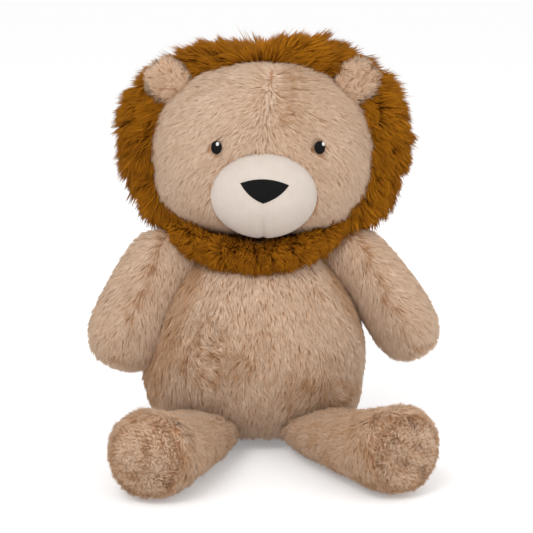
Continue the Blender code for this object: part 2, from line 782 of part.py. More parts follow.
def make_tail(body_room):
    """A thin tail behind the body, just clear of the floor, with a long-pile tuft on its end."""
    root = surface_point(body_room, Vector((0, BODY_DEPTH, TAIL_HEIGHT)), FORWARD)
    swing = pivot_at("tail_hinge", root, -TAIL_SWING, TAIL_SWING)
    place = frame_at(root - Vector((0, TAIL_WIDTH, 0)), -FORWARD, UP)
    size = (TAIL_WIDTH, TAIL_WIDTH, TAIL_LENGTH)
    cage = soft_cage(size, TAIL_RING_SHARES, 0, SMALL_SEGMENTS)
    tail = soft_form("tail", cage, place, material=tan_plush, pivot=swing)
    rooms = [
        turned(f"tail_room_{side}", body_room, root, "Z", sign * TAIL_SWING)
        for side, sign in SIDES.items()
    ]
    cut(tail, body_room, *rooms)
    tip = root + Vector((0, TAIL_LENGTH - TAIL_WIDTH - TUFT_LENGTH * TUFT_OVERLAP_SHARE, 0))
    tuft_cage = soft_cage((TUFT_WIDTH, TUFT_WIDTH, TUFT_LENGTH), TUFT_RING_SHARES, 0, SMALL_SEGMENTS)
    tuft = soft_form(
        "tail_tuft", tuft_cage, frame_at(tip, -FORWARD, UP), material=mustard_pile, pivot=swing
    )
    cut(tuft, soft_form("tail_room", cage, place, grow=SEAM_GAP))


clear_scene()
parts = new_collection("plush_lion")
cutters = new_collection("cutters")
tan_plush = plain_material("tan_plush", TAN_PLUSH, 0.9)
mustard_pile = plain_material("mustard_pile", MUSTARD_PILE, 0.85)
cream_cloth = plain_material("cream_cloth", CREAM_CLOTH, 0.8)
dark_thread = plain_material("dark_thread", DARK_THREAD, 0.45)
pale_thread = plain_material("pale_thread", PALE_THREAD, 0.5)
white_filling = plain_material("white_filling", WHITE_FILLING, 0.95)
calico = plain_material("calico", CALICO, 0.9)
nod = pivot_at("neck_pivot", NECK_PIVOT, -NOD_BACK, NOD_FORWARD)
body_room, leg_room, floor_block = make_body()
room_under_head = neck_room("neck_room", body_room, 0)
room_under_filling = neck_room("filling_room", body_room, SEAM_GAP)
head_cage = make_head(room_under_head, room_under_filling)
head_room = soft_form("head_room", head_cage, HEAD_PLACE, grow=SEAM_GAP)
make_mane(head_room, room_under_head)
arm_spool = shoulder_spool(body_room)
muzzle_cage, muzzle_place = make_muzzle(head_room)
make_nose(muzzle_cage, muzzle_place)
make_eyes(head_cage)
for lion_side in SIDES:
    make_ear(lion_side, head_room)
    make_arm(lion_side, body_room, arm_spool)
    make_leg(lion_side, leg_room, floor_block)
make_tail(body_room)
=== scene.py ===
"""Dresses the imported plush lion: short pile on its forms, a long mane, a stitched face and a stage.

Every stuffed form is a skin, a closed grid worked out from a table of rings, and its pile is grown on
that skin as bent, tapered tufts. Lengths are in metres, and angles in tables and arguments in degrees.
The lion looks along -Y. Left and right are its own, so its left side is at +X.
"""

import math
from collections import namedtuple

import bpy
import numpy as np
from bpy.props import FloatProperty, FloatVectorProperty, IntProperty, PointerProperty
from bpy.types import Operator, Panel, PropertyGroup
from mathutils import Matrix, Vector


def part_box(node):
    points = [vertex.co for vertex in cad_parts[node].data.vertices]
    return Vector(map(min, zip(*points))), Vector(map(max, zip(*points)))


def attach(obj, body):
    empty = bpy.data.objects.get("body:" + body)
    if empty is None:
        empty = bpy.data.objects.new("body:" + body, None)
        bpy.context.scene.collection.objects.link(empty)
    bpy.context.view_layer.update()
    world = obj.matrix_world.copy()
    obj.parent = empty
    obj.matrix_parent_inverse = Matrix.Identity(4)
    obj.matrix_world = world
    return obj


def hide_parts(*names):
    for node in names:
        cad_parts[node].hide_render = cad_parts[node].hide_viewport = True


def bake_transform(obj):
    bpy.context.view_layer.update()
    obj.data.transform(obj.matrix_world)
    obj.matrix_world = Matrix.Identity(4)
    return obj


bl_info = {
    "name": "Plush lion dressing",
    "version": (1, 0, 0),
    "blender": (4, 5, 0),
    "location": "View3D > Sidebar > Plush lion",
    "description": "Grows pile on the plush lion's forms, and makes its mane, face and stage",
    "category": "Add Mesh",
}

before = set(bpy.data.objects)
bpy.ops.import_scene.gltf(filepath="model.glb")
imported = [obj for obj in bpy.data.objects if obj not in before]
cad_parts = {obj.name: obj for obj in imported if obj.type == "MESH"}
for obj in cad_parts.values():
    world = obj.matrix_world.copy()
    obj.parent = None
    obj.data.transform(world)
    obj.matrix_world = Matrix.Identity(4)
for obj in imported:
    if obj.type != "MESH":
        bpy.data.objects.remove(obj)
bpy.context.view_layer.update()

SIDES = {"left": 1, "right": -1}
UP = np.array((0.0, 0.0, 1.0))
FORWARD = np.array((0.0, -1.0, 0.0))
ASIDE = np.array((1.0, 0.0, 0.0))

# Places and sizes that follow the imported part
BODY_SIZE = (0.164, 0.132, 0.1513)
BELLY_FORWARD = 0.004
NECK = (0, 0, 0.1018)
HEAD_SIZE = (0.162, 0.126, 0.131)
HEAD_TILT = 8
HEAD_ASIDE = 0.0045
HEAD_RISE = 0.039
MANE_GROWTH = (0.034, 0.032, 0.020)
MANE_DROP = 0.009
MANE_SEAM = 0.016
MUZZLE_SIZE = (0.0755, 0.0635, 0.078)
MUZZLE_DROP = 0.0298
MUZZLE_ASIDE = 0.0012
EAR_SIZE = (0.033, 0.014, 0.036)
EAR_BEARING = 36
EAR_REACH = 0.0998
ARM_SIZE = (0.046, 0.053, 0.118)
ARM_BEND = 0.014
SHOULDER = (0.065, 0, 0.1563)
LEG_SIZE = (0.058, 0.063, 0.149)
LEG_SPLAY = {"left": 26, "right": 14}
HIP = (0.0345, -0.026, 0)
TAIL_ROOT_SINK = 0.013

# How each arm hangs, and how full, long and high it is against the other sizes
ARM_LEAN = {"left": 28.8, "right": 21}
ARM_FORWARD = {"left": -1, "right": 11}
ARM_FULLNESS = {"left": 1, "right": 1.16}
ARM_SHARE = {"left": 0.99, "right": 0.98}
ARM_RAISE = {"left": 0, "right": 0.0018}

# How far each skin lies inside its form, so that its pile reaches the form's surface
SUNK = {
    "body": 0.0040, "head": 0.0042, "mane": 0.0095, "ear": 0.0046,
    "arm": 0.0032, "leg": 0.0027, "tail": 0.0028, "tuft": 0.0060,
}
# Hollow in the body's left side, by the paw: its middle, reach and depth
ARM_HOLLOW = ((0.082, -0.010, 0.040), 0.026, 0.0040)
# Lumps of the mane's outline in the head's own axes: middle, reach and height
MANE_LOBES = (
    ((0.066, 0, 0.060), 0.036, 0.0060),
    ((0.090, 0, -0.025), 0.026, 0.0045),
    ((-0.034, 0, 0.080), 0.028, 0.0028),
    ((0.040, 0, 0.078), 0.026, 0.0024),
    ((-0.078, 0, 0.054), 0.022, 0.0008),
    ((-0.070, 0, -0.050), 0.022, 0.0035),
)
COLLAR_REACH = 0.0435
COLLAR_FLAT = 0.846
COLLAR_SPREAD = 0.014
COLLAR_RISE = 0.018
COLLAR_HEIGHT = 0.1368
COLLAR_THICK = 0.0056
EYE_ASIDE = 0.0042
EYE_APART = 0.071
EYE_ABOVE = 0.0015
EYE_SIZE = (0.0073, 0.0090)
GLINT_SIZE = (0.0021, 0.0028)
GLINT_SPOT = (0.0016, 0.0022, 0.0022)
# The nose's corners, and how far the side after each bows out
NOSE_CORNERS = ((-0.0160, 0.0072), (-0.0003, -0.0066), (0.0173, 0.0058))
NOSE_BOWS = ((-0.0013, -0.0015), (0.0014, -0.0013), (0.0000, 0.0034))
PATCH_BACK = -0.0012
# Where the belly was stroked another way: middle, reach and turn
BELLY_STROKES = (
    ((-0.034, -0.064, 0.090), 0.013, 80),
    ((-0.036, -0.068, 0.066), 0.019, 95),
    ((-0.014, -0.068, 0.068), 0.012, -70),
    ((0.040, -0.062, 0.043), 0.018, -80),
    ((0.060, -0.050, 0.040), 0.014, 70),
)
SOLE_SHARE = 0.955
SEAM_WIDTH = 0.0011

# Each ring: way along the form, half width and half depth as shares, then set to the front where given
BODY_RINGS = (
    (0.000, 0.00, 0.00, 0.0), (0.000, 0.50, 0.46, 0.0), (0.035, 0.84, 0.80, 0.4), (0.165, 1.00, 0.98, 0.8),
    (0.360, 1.04, 1.03, 1.0), (0.570, 0.95, 0.91, 0.8), (0.740, 0.81, 0.75, 0.3), (0.875, 0.62, 0.57, 0.0),
    (0.970, 0.30, 0.31, 0.0), (1.000, 0.00, 0.00, 0.0),
)
HEAD_RINGS = (
    (0.000, 0.00, 0.00), (0.005, 0.46, 0.46), (0.065, 0.78, 0.78), (0.200, 0.98, 0.98), (0.385, 1.06, 1.05),
    (0.585, 1.05, 1.04), (0.775, 0.94, 0.94), (0.915, 0.71, 0.72), (0.990, 0.38, 0.40), (1.000, 0.00, 0.00),
)
MANE_RINGS = (
    (0.000, 0.00, 0.00), (0.020, 0.40, 0.52), (0.110, 0.72, 0.80), (0.250, 0.93, 0.97), (0.420, 1.03, 1.05),
    (0.600, 1.06, 1.06), (0.780, 0.96, 0.96), (0.910, 0.74, 0.74), (0.985, 0.42, 0.42), (1.000, 0.00, 0.00),
)
MUZZLE_RINGS = (
    (0.00, 0.00, 0.00), (0.05, 0.66, 0.66), (0.30, 0.98, 0.98), (0.62, 1.04, 1.04),
    (0.84, 0.84, 0.84), (0.97, 0.44, 0.44), (1.00, 0.00, 0.00),
)
EAR_RINGS = (
    (0.00, 0.00, 0.00), (0.04, 0.66, 0.80), (0.28, 1.00, 1.04), (0.58, 1.08, 1.00),
    (0.84, 0.84, 0.82), (0.98, 0.42, 0.46), (1.00, 0.00, 0.00),
)
ARM_RINGS = (
    (0.00, 0.00, 0.00, 1.00), (0.05, 0.58, 0.60, 0.90), (0.16, 0.84, 0.96, 0.62), (0.38, 0.90, 0.93, 0.20),
    (0.62, 1.00, 1.00, 0.02), (0.84, 0.98, 0.98, 0.00), (0.97, 0.58, 0.58, 0.00), (1.00, 0.00, 0.00, 0.00),
)
LEG_RINGS = (
    (0.00, 0.00, 0.00, 0.50), (0.04, 0.84, 0.44, 0.50), (0.22, 1.18, 0.52, 0.51), (0.48, 1.18, 0.66, 0.64),
    (0.74, 1.13, 0.87, 0.85), (0.92, 1.05, 1.04, 1.02), (0.99, 0.84, 0.84, 1.02), (1.00, 0.00, 0.00, 1.02),
)
TAIL_RINGS = (
    (0.00, 0.00, 0.00), (0.02, 0.60, 0.60), (0.28, 1.00, 1.00),
    (0.72, 1.00, 1.00), (0.98, 0.60, 0.60), (1.00, 0.00, 0.00),
)

Skin = namedtuple("Skin", "points normals")

# Pile: a tuft's length and width, tufts to a square millimetre, its lean from the normal at root and
# tip, a lock's size and pull, turn from the comb, shade, and how much length, lean and shade vary. The
# last is how far a tuft is lit as the surface that it grows on
Pile = namedtuple(
    "Pile",
    "length width density stand lie lock pull sway shade spread lift vary even",
    defaults=(0.66, 0.16, 0.45, 0.6, 0.60),
)
PILES = {
    "tan": Pile(0, 0, 0, stand=64, lie=80, lock=0.0030, pull=0.32, sway=12),
    "mane": Pile(
        0, 0, 0, stand=36, lie=66, lock=0.0056, pull=0.40, sway=26,
        shade=0.5, spread=0.20, lift=1.3, vary=1.3, even=0.36,
    ),
}
# Each part's pile: its kind, the number of its random draw and what it changes of the kind
PARTS = {
    "body": ("tan", 0, {}),
    "face": ("tan", 4, {"length": 0.0066, "width": 0.0006, "density": 2.6, "lock": 0.0022, "sway": 10}),
    "mane": ("mane", 8, {}),
    "collar": ("mane", 13, {"length": 0.0102, "density": 2.6, "lock": 0.0034, "sway": 34}),
    "ear": ("tan", 20, {
        "length": 0.0062, "density": 3.3, "stand": 52, "lie": 68, "sway": 34, "shade": 0.57, "lift": 0.8,
    }),
    "arm": ("tan", 24, {"lock": 0.0025, "sway": 11, "lift": 0.3}),
    "leg": ("tan", 30, {
        "length": 0.0052, "width": 0.0007, "density": 1.95, "stand": 60, "lie": 78,
        "lock": 0.0022, "sway": 20, "shade": 0.46, "lift": 0.8,
    }),
    "sole": ("tan", 34, {
        "length": 0.0033, "width": 0.00054, "density": 11, "stand": 38, "lie": 50,
        "lock": 0.0017, "pull": 0.6, "sway": 20, "shade": 0.68, "lift": 0.7,
    }),
    "tail": ("tan", 40, {"length": 0.0060, "lie": 72}),
    "tuft": ("mane", 41, {"length": 0.016, "density": 1.3, "stand": 30, "lie": 58}),
}
BODY_DENSITY = {"front": 1.72, "back": 1.1}
RIM_DENSITY, HOOD_DENSITY = 1.55, 0.7
SEED_STEP = 101

# Shares of a tuft's own draw, of its lock's and of the draw for its patch of locks
TURN_SHARES = (0.55, 0.8, 0.6)
LENGTH_SHARES = (0.6, 0.6)
LIFT_SHARES = (5, 6, 5)
SHADE_SHARES = (0.12, 0.11, 0.06)
PATCH_OF_LOCKS = 2.6
TUFT_TAPER = 0.55
LEAN_LIMITS = (2, 88)
# What ruffled pile does: it stands up, turns more and is darker
RUFFLE_RAISE, RUFFLE_TURN, RUFFLE_DARK = 30, 2, 0.55
# Lowest place that pile bends to over the floor
FLOOR_LEAST = 0.0004

# The map of a tuft: shades across and, from root to tip, the height
TONES = 48
TONE_EDGE = 0.15
ROOT_TONE, TIP_TONE = 0.06, 0.98

# Finish that each of the record's slots gets. A pile's: colours, reach of its dark root and sheen. A
# weave's: colours, threads, depth, sheen and gloss
FINISHES = {
    "tan_plush": "tan_pile",
    "mustard_pile": "mustard_long_pile",
    "cream_cloth": "cream_weave",
    "dark_thread": "dark_satin",
    "pale_thread": "pale_satin",
}
PILE_SLOTS = {"tan": "tan_plush", "mane": "mustard_pile"}
PILE_FINISHES = {"tan_pile": ("tan", 0.62, 0.25), "mustard_long_pile": ("mustard", 0.75, 0.0)}
WEAVE_FINISHES = {
    "cream_weave": ("cream", 270, 0.0002, 0.2, 0.3),
    "dark_satin": ("thread", 330, 0.0003, 0.02, 0.12),
    "pale_satin": ("highlight", 620, 0.0004, 0.1, 0.3),
}
COLOUR, NUMBER, VECTOR = "NodeSocketColor", "NodeSocketFloat", "NodeSocketVector"
PILE_GLOSS = 0.12

# Stage. Each lamp: name, place, size and which power setting it takes
TARGET = (0.0076, 0, 0.1223)
LAMPS = (
    ("key", (-0.55, -1.30, 1.35), 0.9, "key_power"),
    ("fill", (1.30, -1.00, 0.55), 1.1, "fill_power"),
    ("rim", (0.20, 1.20, 1.20), 0.9, "fill_power"),
)
FLOOR_HALF = 6.0
FLOOR_GLOW = 0.25
SENSOR_WIDTH = 36


# Small tools on whole arrays


def unit(vectors):
    """Each vector divided by its length."""
    return vectors / np.maximum(np.linalg.norm(vectors, axis=-1, keepdims=True), 1e-12)


def length_of(vectors):
    """Each vector's length."""
    return np.linalg.norm(vectors, axis=-1)


def bell(value):
    """One at nought, with a smooth fall to nought on both sides."""
    return np.exp(-(value**2))


def smooth_step(low, high, value):
    """Nought below low and one above high, with a smooth rise between them."""
    share = np.clip((value - low) / (high - low), 0, 1)
    return share * share * (3 - 2 * share)


def drift(points, size, seed, waves=7):
    """Smooth noise from -1 to 1: a sum of sine waves of about one size that run in seeded directions."""
    rng = np.random.default_rng(seed)
    ways = rng.normal(size=(3, waves))
    ways *= (2 * math.pi / size) * rng.uniform(0.6, 1.5, waves) / np.linalg.norm(ways, axis=0)
    heights = np.sin(points @ ways + rng.uniform(0, 2 * math.pi, waves))
    return heights.sum(-1) / math.sqrt(waves)


def patches(low, high, points, size, seed):
    """Spots of about one size, from nought to one: smooth noise taken through a smooth step."""
    return smooth_step(low, high, drift(points, size, seed))


def circle(columns):
    """Angles once round."""
    return np.linspace(0, 2 * math.pi, columns, endpoint=False)


def moved(point):
    """A place that only moves to a point."""
    place = np.eye(4)
    place[:3, 3] = point
    return place


def tipped(degrees):
    """A place turned about X."""
    angle = math.radians(degrees)
    place = np.eye(4)
    place[1:3, 1:3] = ((math.cos(angle), -math.sin(angle)), (math.sin(angle), math.cos(angle)))
    return place


def frame_at(point, along, toward):
    """A place whose Z runs along a form and whose Y leans toward a direction."""
    along = unit(np.array(along, float))
    across = unit(np.cross(toward, along))
    place = moved(point)
    place[:3, :3] = np.array((across, np.cross(along, across), along)).T
    return place


def placed(place, points):
    """Points taken from a place into the world."""
    return np.asarray(points) @ place[:3, :3].T + place[:3, 3]


def within(place, points):
    """World points in a place's own axes."""
    return (points - place[:3, 3]) @ place[:3, :3]


HEAD_PLACE = moved(NECK) @ tipped(-HEAD_TILT) @ moved((HEAD_ASIDE, 0, HEAD_RISE))
HEAD_TURN = HEAD_PLACE[:3, :3]
HEAD_MIDDLE = placed(HEAD_PLACE, (0, 0, HEAD_SIZE[2] / 2))


def from_head(points):
    """World points in the head's own axes, measured from its middle: aside, back and up."""
    return (points - HEAD_MIDDLE) @ HEAD_TURN


def beside_seam(points):
    """How far points lie beside the forehead's seam, which leans over as it rises, and how high."""
    own = from_head(points)
    return own[:, 0] - (0.0019 + 0.095 * own[:, 2]), own[:, 2]


def looking_out(aside, above):
    """A place in the head whose Z runs out of the face and whose Y runs up."""
    point = HEAD_MIDDLE + HEAD_TURN @ np.array((aside, 0, above))
    return frame_at(point, HEAD_TURN @ FORWARD, HEAD_TURN @ UP)


# Skins


def ring_curve(rings, rows):
    """A cubic B-spline led by the rings, which turn back past each end so that it closes in a pole."""
    table = np.array([(*ring, 0.0)[:4] for ring in rings])
    mirror = np.array((1, -1, -1, 1))
    table = np.vstack((table[1] * mirror, table, table[-2] * mirror))
    spans = len(rings) - 1
    at = np.linspace(0, spans, rows)
    cell = np.minimum(at.astype(int), spans - 1)
    t = (at - cell)[:, None]
    weights = ((1 - t) ** 3, 3 * t**3 - 6 * t**2 + 4, -3 * t**3 + 3 * t**2 + 3 * t + 1, t**3)
    return sum(weight * table[cell + step] for step, weight in enumerate(weights)) / 6


def refined(points):
    """A skin from a grid that closes round its columns, with normals from the cross of its two ways."""
    around = np.roll(points, -1, 1) - np.roll(points, 1, 1)
    normals = np.cross(around, np.gradient(points, axis=0))
    normals[0] = normals[1].sum(0)
    normals[-1] = normals[-2].sum(0)
    return Skin(points, unit(normals))


def skin_of(size, rings, place, set_length=0, inset=0, rows=72, columns=96):
    """A closed form: at each row of the ring curve an ellipse, with its middle set along Y.

    A point lies at (cos a * width / 2, sin a * depth / 2 + set, height), and the whole form is then
    drawn in along its normals.
    """
    height, width, depth, forward = ring_curve(rings, rows).T
    angle = circle(columns)
    points = np.empty((rows, columns, 3))
    points[..., 0] = np.outer(width, np.cos(angle)) * size[0] / 2
    points[..., 1] = np.outer(depth, np.sin(angle)) * size[1] / 2 + forward[:, None] * set_length
    points[..., 2] = height[:, None] * size[2]
    skin = refined(placed(place, points))
    return Skin(skin.points - skin.normals * inset, skin.normals)


def grid_faces(rows, columns):
    """Quads between rows, and a fan at each pole, round a grid whose poles are single vertices."""
    ring = np.arange(columns)
    turn = np.roll(ring, -1)
    first = 1 + np.arange(rows - 3)[:, None] * columns
    quads = np.stack((first + ring, first + turn, first + columns + turn, first + columns + ring), -1)
    last = 1 + (rows - 2) * columns
    start = np.stack((np.zeros_like(ring), 1 + turn, 1 + ring), -1)
    end = np.stack((np.full_like(ring, last), last - columns + ring, last - columns + turn), -1)
    return quads.reshape(-1, 4), np.vstack((start, end))


def new_piece(name, points, corners, sizes, material, maps, facing=None):
    """A finished piece at the origin, from points, face corners, corners to a face and named maps.

    Where the ways that its points face are given, it is shaded by them.
    """
    mesh = bpy.data.meshes.new(name)
    mesh.vertices.add(len(points))
    mesh.vertices.foreach_set("co", points.astype(np.float32).ravel())
    mesh.loops.add(len(corners))
    mesh.polygons.add(len(sizes))
    starts = np.concatenate(((0,), np.cumsum(sizes)[:-1]))
    mesh.loops.foreach_set("vertex_index", corners.astype(np.int32))
    mesh.polygons.foreach_set("loop_start", starts.astype(np.int32))
    mesh.update(calc_edges=True)
    mesh.polygons.foreach_set("use_smooth", np.ones(len(sizes), bool))
    for label, values in maps.items():
        layer = mesh.uv_layers.new(name=label)
        layer.data.foreach_set("uv", values.astype(np.float32).ravel())
    mesh.validate()
    if facing is not None:
        mesh.normals_split_custom_set_from_vertices(facing.astype(np.float32))
    mesh.materials.append(material)
    piece = bpy.data.objects.new(name, mesh)
    bpy.context.scene.collection.objects.link(piece)
    return piece


def shade_across(level, share):
    """Where a map's column for a shade lies, from 0, dark and warm, to 1, pale, and how far across it."""
    column = np.clip(np.floor(level * TONES), 0, TONES - 1)
    return (column + TONE_EDGE + (1 - 2 * TONE_EDGE) * share) / TONES


def skin_piece(name, skin, slot, shade=0.35, root=True):
    """A skin as a piece. Under pile its map points at the roots' shade, and else it is laid out flat."""
    rows, columns = skin.points.shape[:2]
    quads, fans = grid_faces(rows, columns)
    points = np.vstack((skin.points[0, :1], skin.points[1:-1].reshape(-1, 3), skin.points[-1, :1]))
    corners = np.concatenate((quads.ravel(), fans.ravel()))
    sizes = np.concatenate((np.full(len(quads), 4), np.full(len(fans), 3)))
    if root:
        centres = np.vstack((points[quads].mean(1), points[fans].mean(1)))
        level = shade + 0.2 * drift(centres, 0.012, 3)
        square = np.array(((0, 0), (1, 0), (1, 1), (0, 1)))
        spots = np.vstack((np.tile(square, (len(quads), 1)), np.tile(square[:3], (len(fans), 1))))
        values = np.stack((shade_across(np.repeat(level, sizes), spots[:, 0]), 0.02 + 0.05 * spots[:, 1]), -1)
        maps = {"strand": values, "OFBake": values}
    else:
        row = np.concatenate(((0,), np.repeat(np.arange(1, rows - 1), columns), (rows - 1,)))
        ring = np.arange(columns)
        low = np.tile(ring, rows - 3)
        ways = (
            np.stack((low, low + 1, low + 1, low), -1),
            np.stack((ring + 0.5, ring + 1, ring), -1),
            np.stack((ring + 0.5, ring, ring + 1), -1),
        )
        across = np.concatenate([way.ravel() for way in ways]) / columns
        maps = {"cloth": np.stack((across, row[corners] / (rows - 1)), -1)}
    return new_piece(name, points, corners, sizes, shared_material(slot), maps)


# Pile


def scatter(skin, density, wanted, rng):
    """Roots spread evenly by area: a cell is picked from the sum of areas, a point in it by two shares."""
    p = np.concatenate((skin.points, skin.points[:, :1]), 1)
    n = np.concatenate((skin.normals, skin.normals[:, :1]), 1)
    area = length_of(np.cross(p[1:, 1:] - p[:-1, :-1], p[1:, :-1] - p[:-1, 1:])) / 2
    middle = (p[1:, 1:] + p[:-1, :-1]) / 2
    facing = unit(n[1:, 1:] + n[:-1, :-1])
    weight = area * np.clip(wanted(middle, facing), 0, None)
    total = np.cumsum(weight.ravel())
    count = int(total[-1] * 1e6 * density)
    pick = (np.arange(count) + rng.random(count)) / count * total[-1]
    cell = np.minimum(np.searchsorted(total, pick), total.size - 1)
    row, column = np.divmod(cell, weight.shape[1])
    a, b = rng.random((2, count, 1))

    def inside(grid):
        near = grid[row, column] * (1 - a) + grid[row, column + 1] * a
        far = grid[row + 1, column] * (1 - a) + grid[row + 1, column + 1] * a
        return near * (1 - b) + far * b

    return inside(p), unit(inside(n))


def lock_of(points, size, seed):
    """The lock each root belongs to: the same warped cube of space has the same number."""
    warp = np.stack([drift(points, 4 * size, seed + k) for k in range(3)], -1)
    cells = np.floor((points + warp * size * 0.7) / size).astype(int)
    return np.unique(cells, axis=0, return_inverse=True)[1].ravel()


def lock_mean(lock, values):
    """The mean of the values over each root's lock."""
    count = np.bincount(lock)
    mean = np.stack([np.bincount(lock, values[:, k]) / count for k in range(values.shape[1])], -1)
    return mean[lock]


def mixed(shares, *draws):
    """The sum of draws, each by its share."""
    return sum(share * draw for share, draw in zip(shares, draws))


def turned(ways, normals, angle):
    """Ways turned about the normals."""
    return ways * np.cos(angle)[:, None] + np.cross(normals, ways) * np.sin(angle)[:, None]


def along_skin(ways, normals):
    """Ways laid flat on the surface."""
    return unit(ways - normals * (ways * normals).sum(-1, keepdims=True))


def tuft_faces(rings):
    """Corners of one tuft: three sided rings, a pointed end and a closed root, with their map places."""
    corners, u, v, sizes = [], [], [], []
    for ring in range(rings - 1):
        for side in range(3):
            after = (side + 1) % 3
            low, high = 3 * ring, 3 * ring + 3
            corners += [low + side, low + after, high + after, high + side]
            u += [side, side + 1, side + 1, side]
            v += [ring, ring, ring + 1, ring + 1]
            sizes.append(4)
    top = 3 * (rings - 1)
    for side in range(3):
        corners += [top + side, top + (side + 1) % 3, top + 3]
        u += [side, side + 1, side + 0.5]
        v += [rings - 1, rings - 1, rings]
        sizes.append(3)
    corners += [2, 1, 0]
    u += [0, 3, 1.5]
    v += [0, 0, 0.2]
    sizes.append(3)
    return np.array(corners), np.array(u) / 3, np.array(v), np.array(sizes)


def grow(name, slot, skin, pile, comb, wanted, seed, tone=None, rings=1, floor=0.0, ruffle=None):
    """Pile on a skin, as one piece.

    A tuft leaves its root at the stand angle from the normal and ends at the lie angle, both toward the
    comb. Its knees and its tip are pulled to the mean of its lock, and its width falls to a point. Where
    the pile is ruffled, from 0 to 1, it stands up, turns more and shows its warm roots. Below a floor's
    height its points are pressed together, so that none goes under the floor.
    """
    rng = np.random.default_rng(seed)
    roots, normals = scatter(skin, pile.density, wanted, rng)
    count = len(roots)
    fine = lock_of(roots, pile.lock, seed)
    coarse = lock_of(roots, pile.lock * PATCH_OF_LOCKS, seed + 11)
    by_lock = rng.normal(size=(fine.max() + 1, 3))[fine]
    by_patch = rng.normal(size=(coarse.max() + 1, 3))[coarse]
    own = rng.normal(size=(count, 3))
    rough = np.zeros(count) if ruffle is None else np.clip(ruffle(roots), 0, 1)
    turn = mixed(TURN_SHARES, own[:, 0], by_lock[:, 0], by_patch[:, 0])
    turn = np.radians(pile.sway * (1 + RUFFLE_TURN * rough)) * turn
    flow = turned(along_skin(unit(comb(roots, normals)), normals), normals, turn)
    length = pile.length * np.exp(pile.spread * mixed(LENGTH_SHARES, own[:, 1], by_lock[:, 1]))
    lift = pile.lift * mixed(LIFT_SHARES, own[:, 2], by_lock[:, 2], by_patch[:, 1])
    centres = [roots]
    for step in range(rings):
        share = (step + 0.5) / rings
        lean = pile.stand + (pile.lie - pile.stand) * share + lift - RUFFLE_RAISE * rough
        lean = np.radians(np.clip(lean, *LEAN_LIMITS))
        way = normals * np.cos(lean)[:, None] + flow * np.sin(lean)[:, None]
        centres.append(centres[-1] + way * (length / rings)[:, None])
    for step in range(1, rings + 1):
        share = pile.pull * (step / rings) ** 1.3
        pulled = lock_mean(fine, centres[step])
        centres[step] = centres[step] + (pulled - centres[step]) * share
    points = np.empty((count, 3 * rings + 1, 3))
    facing = np.empty_like(points)
    twist = rng.random(count) * 2 * math.pi
    width = pile.width * np.exp(0.25 * own[:, 0]) / 2
    for ring in range(rings):
        along = unit(centres[ring + 1] - centres[ring])
        across = unit(np.cross(along, normals) + 1e-6)
        rise = np.cross(along, across)
        thick = width * (1 - TUFT_TAPER * ring / rings)
        for corner in range(3):
            angle = (twist + corner * 2 * math.pi / 3)[:, None]
            out = across * np.cos(angle) + rise * np.sin(angle)
            points[:, 3 * ring + corner] = centres[ring] + out * thick[:, None]
            facing[:, 3 * ring + corner] = unit(normals * pile.even + out * (1 - pile.even))
    points[:, -1] = centres[-1]
    facing[:, -1] = unit(normals * pile.even + along * (1 - pile.even))
    if floor:
        z = points[..., 2]
        depth = (np.minimum(z, floor) - floor) / (floor - FLOOR_LEAST)
        points[..., 2] = np.where(z < floor, FLOOR_LEAST + (floor - FLOOR_LEAST) * np.exp(depth), z)
    level = pile.vary * mixed(SHADE_SHARES, own[:, 1], by_lock[:, 2], by_patch[:, 2])
    level += pile.shade + 0.05 * drift(roots, 0.05, 5) - RUFFLE_DARK * rough
    # Added level: the face's own tone, and on the body painted shade beside the arms
    if tone is not None:
        level += tone(roots)
    pattern, u, v, sizes = tuft_faces(rings)
    corners = (np.arange(count)[:, None] * (3 * rings + 1) + pattern).ravel()
    rise = np.tile(ROOT_TONE + (TIP_TONE - ROOT_TONE) * v / rings, count)
    values = np.stack((shade_across(level[:, None], u).ravel(), rise), -1)
    shape = points.reshape(-1, 3), corners, np.tile(sizes, count)
    maps = {"strand": values, "OFBake": values}
    return new_piece(name, *shape, shared_material(slot), maps, facing.reshape(-1, 3))


# Materials


def group_of(name, **sockets):
    """An empty shader group with its named inputs and outputs, which each material sets or links."""
    tree = bpy.data.node_groups.new(name, "ShaderNodeTree")
    for way, named in sockets.items():
        for label, kind in named.items():
            tree.interface.new_socket(label, in_out=way.upper(), socket_type=kind)
    return tree, tree.nodes.new("NodeGroupInput").outputs, tree.nodes.new("NodeGroupOutput").inputs


def feed(tree, sockets, values):
    """Each socket gets a link from a socket, or a value."""
    for socket, value in zip(sockets, values):
        if isinstance(value, bpy.types.NodeSocket):
            tree.links.new(value, socket)
        else:
            socket.default_value = value


def mix_node(tree, factor, first, second):
    """A colour mix. Returns the result's socket."""
    node = tree.nodes.new("ShaderNodeMix")
    node.data_type = "RGBA"
    feed(tree, (node.inputs[0], node.inputs[6], node.inputs[7]), (factor, first, second))
    return node.outputs[2]


def math_node(tree, operation, *values):
    """One step of arithmetic. Returns the result's socket."""
    node = tree.nodes.new("ShaderNodeMath")
    node.operation = operation
    feed(tree, node.inputs, values)
    return node.outputs[0]


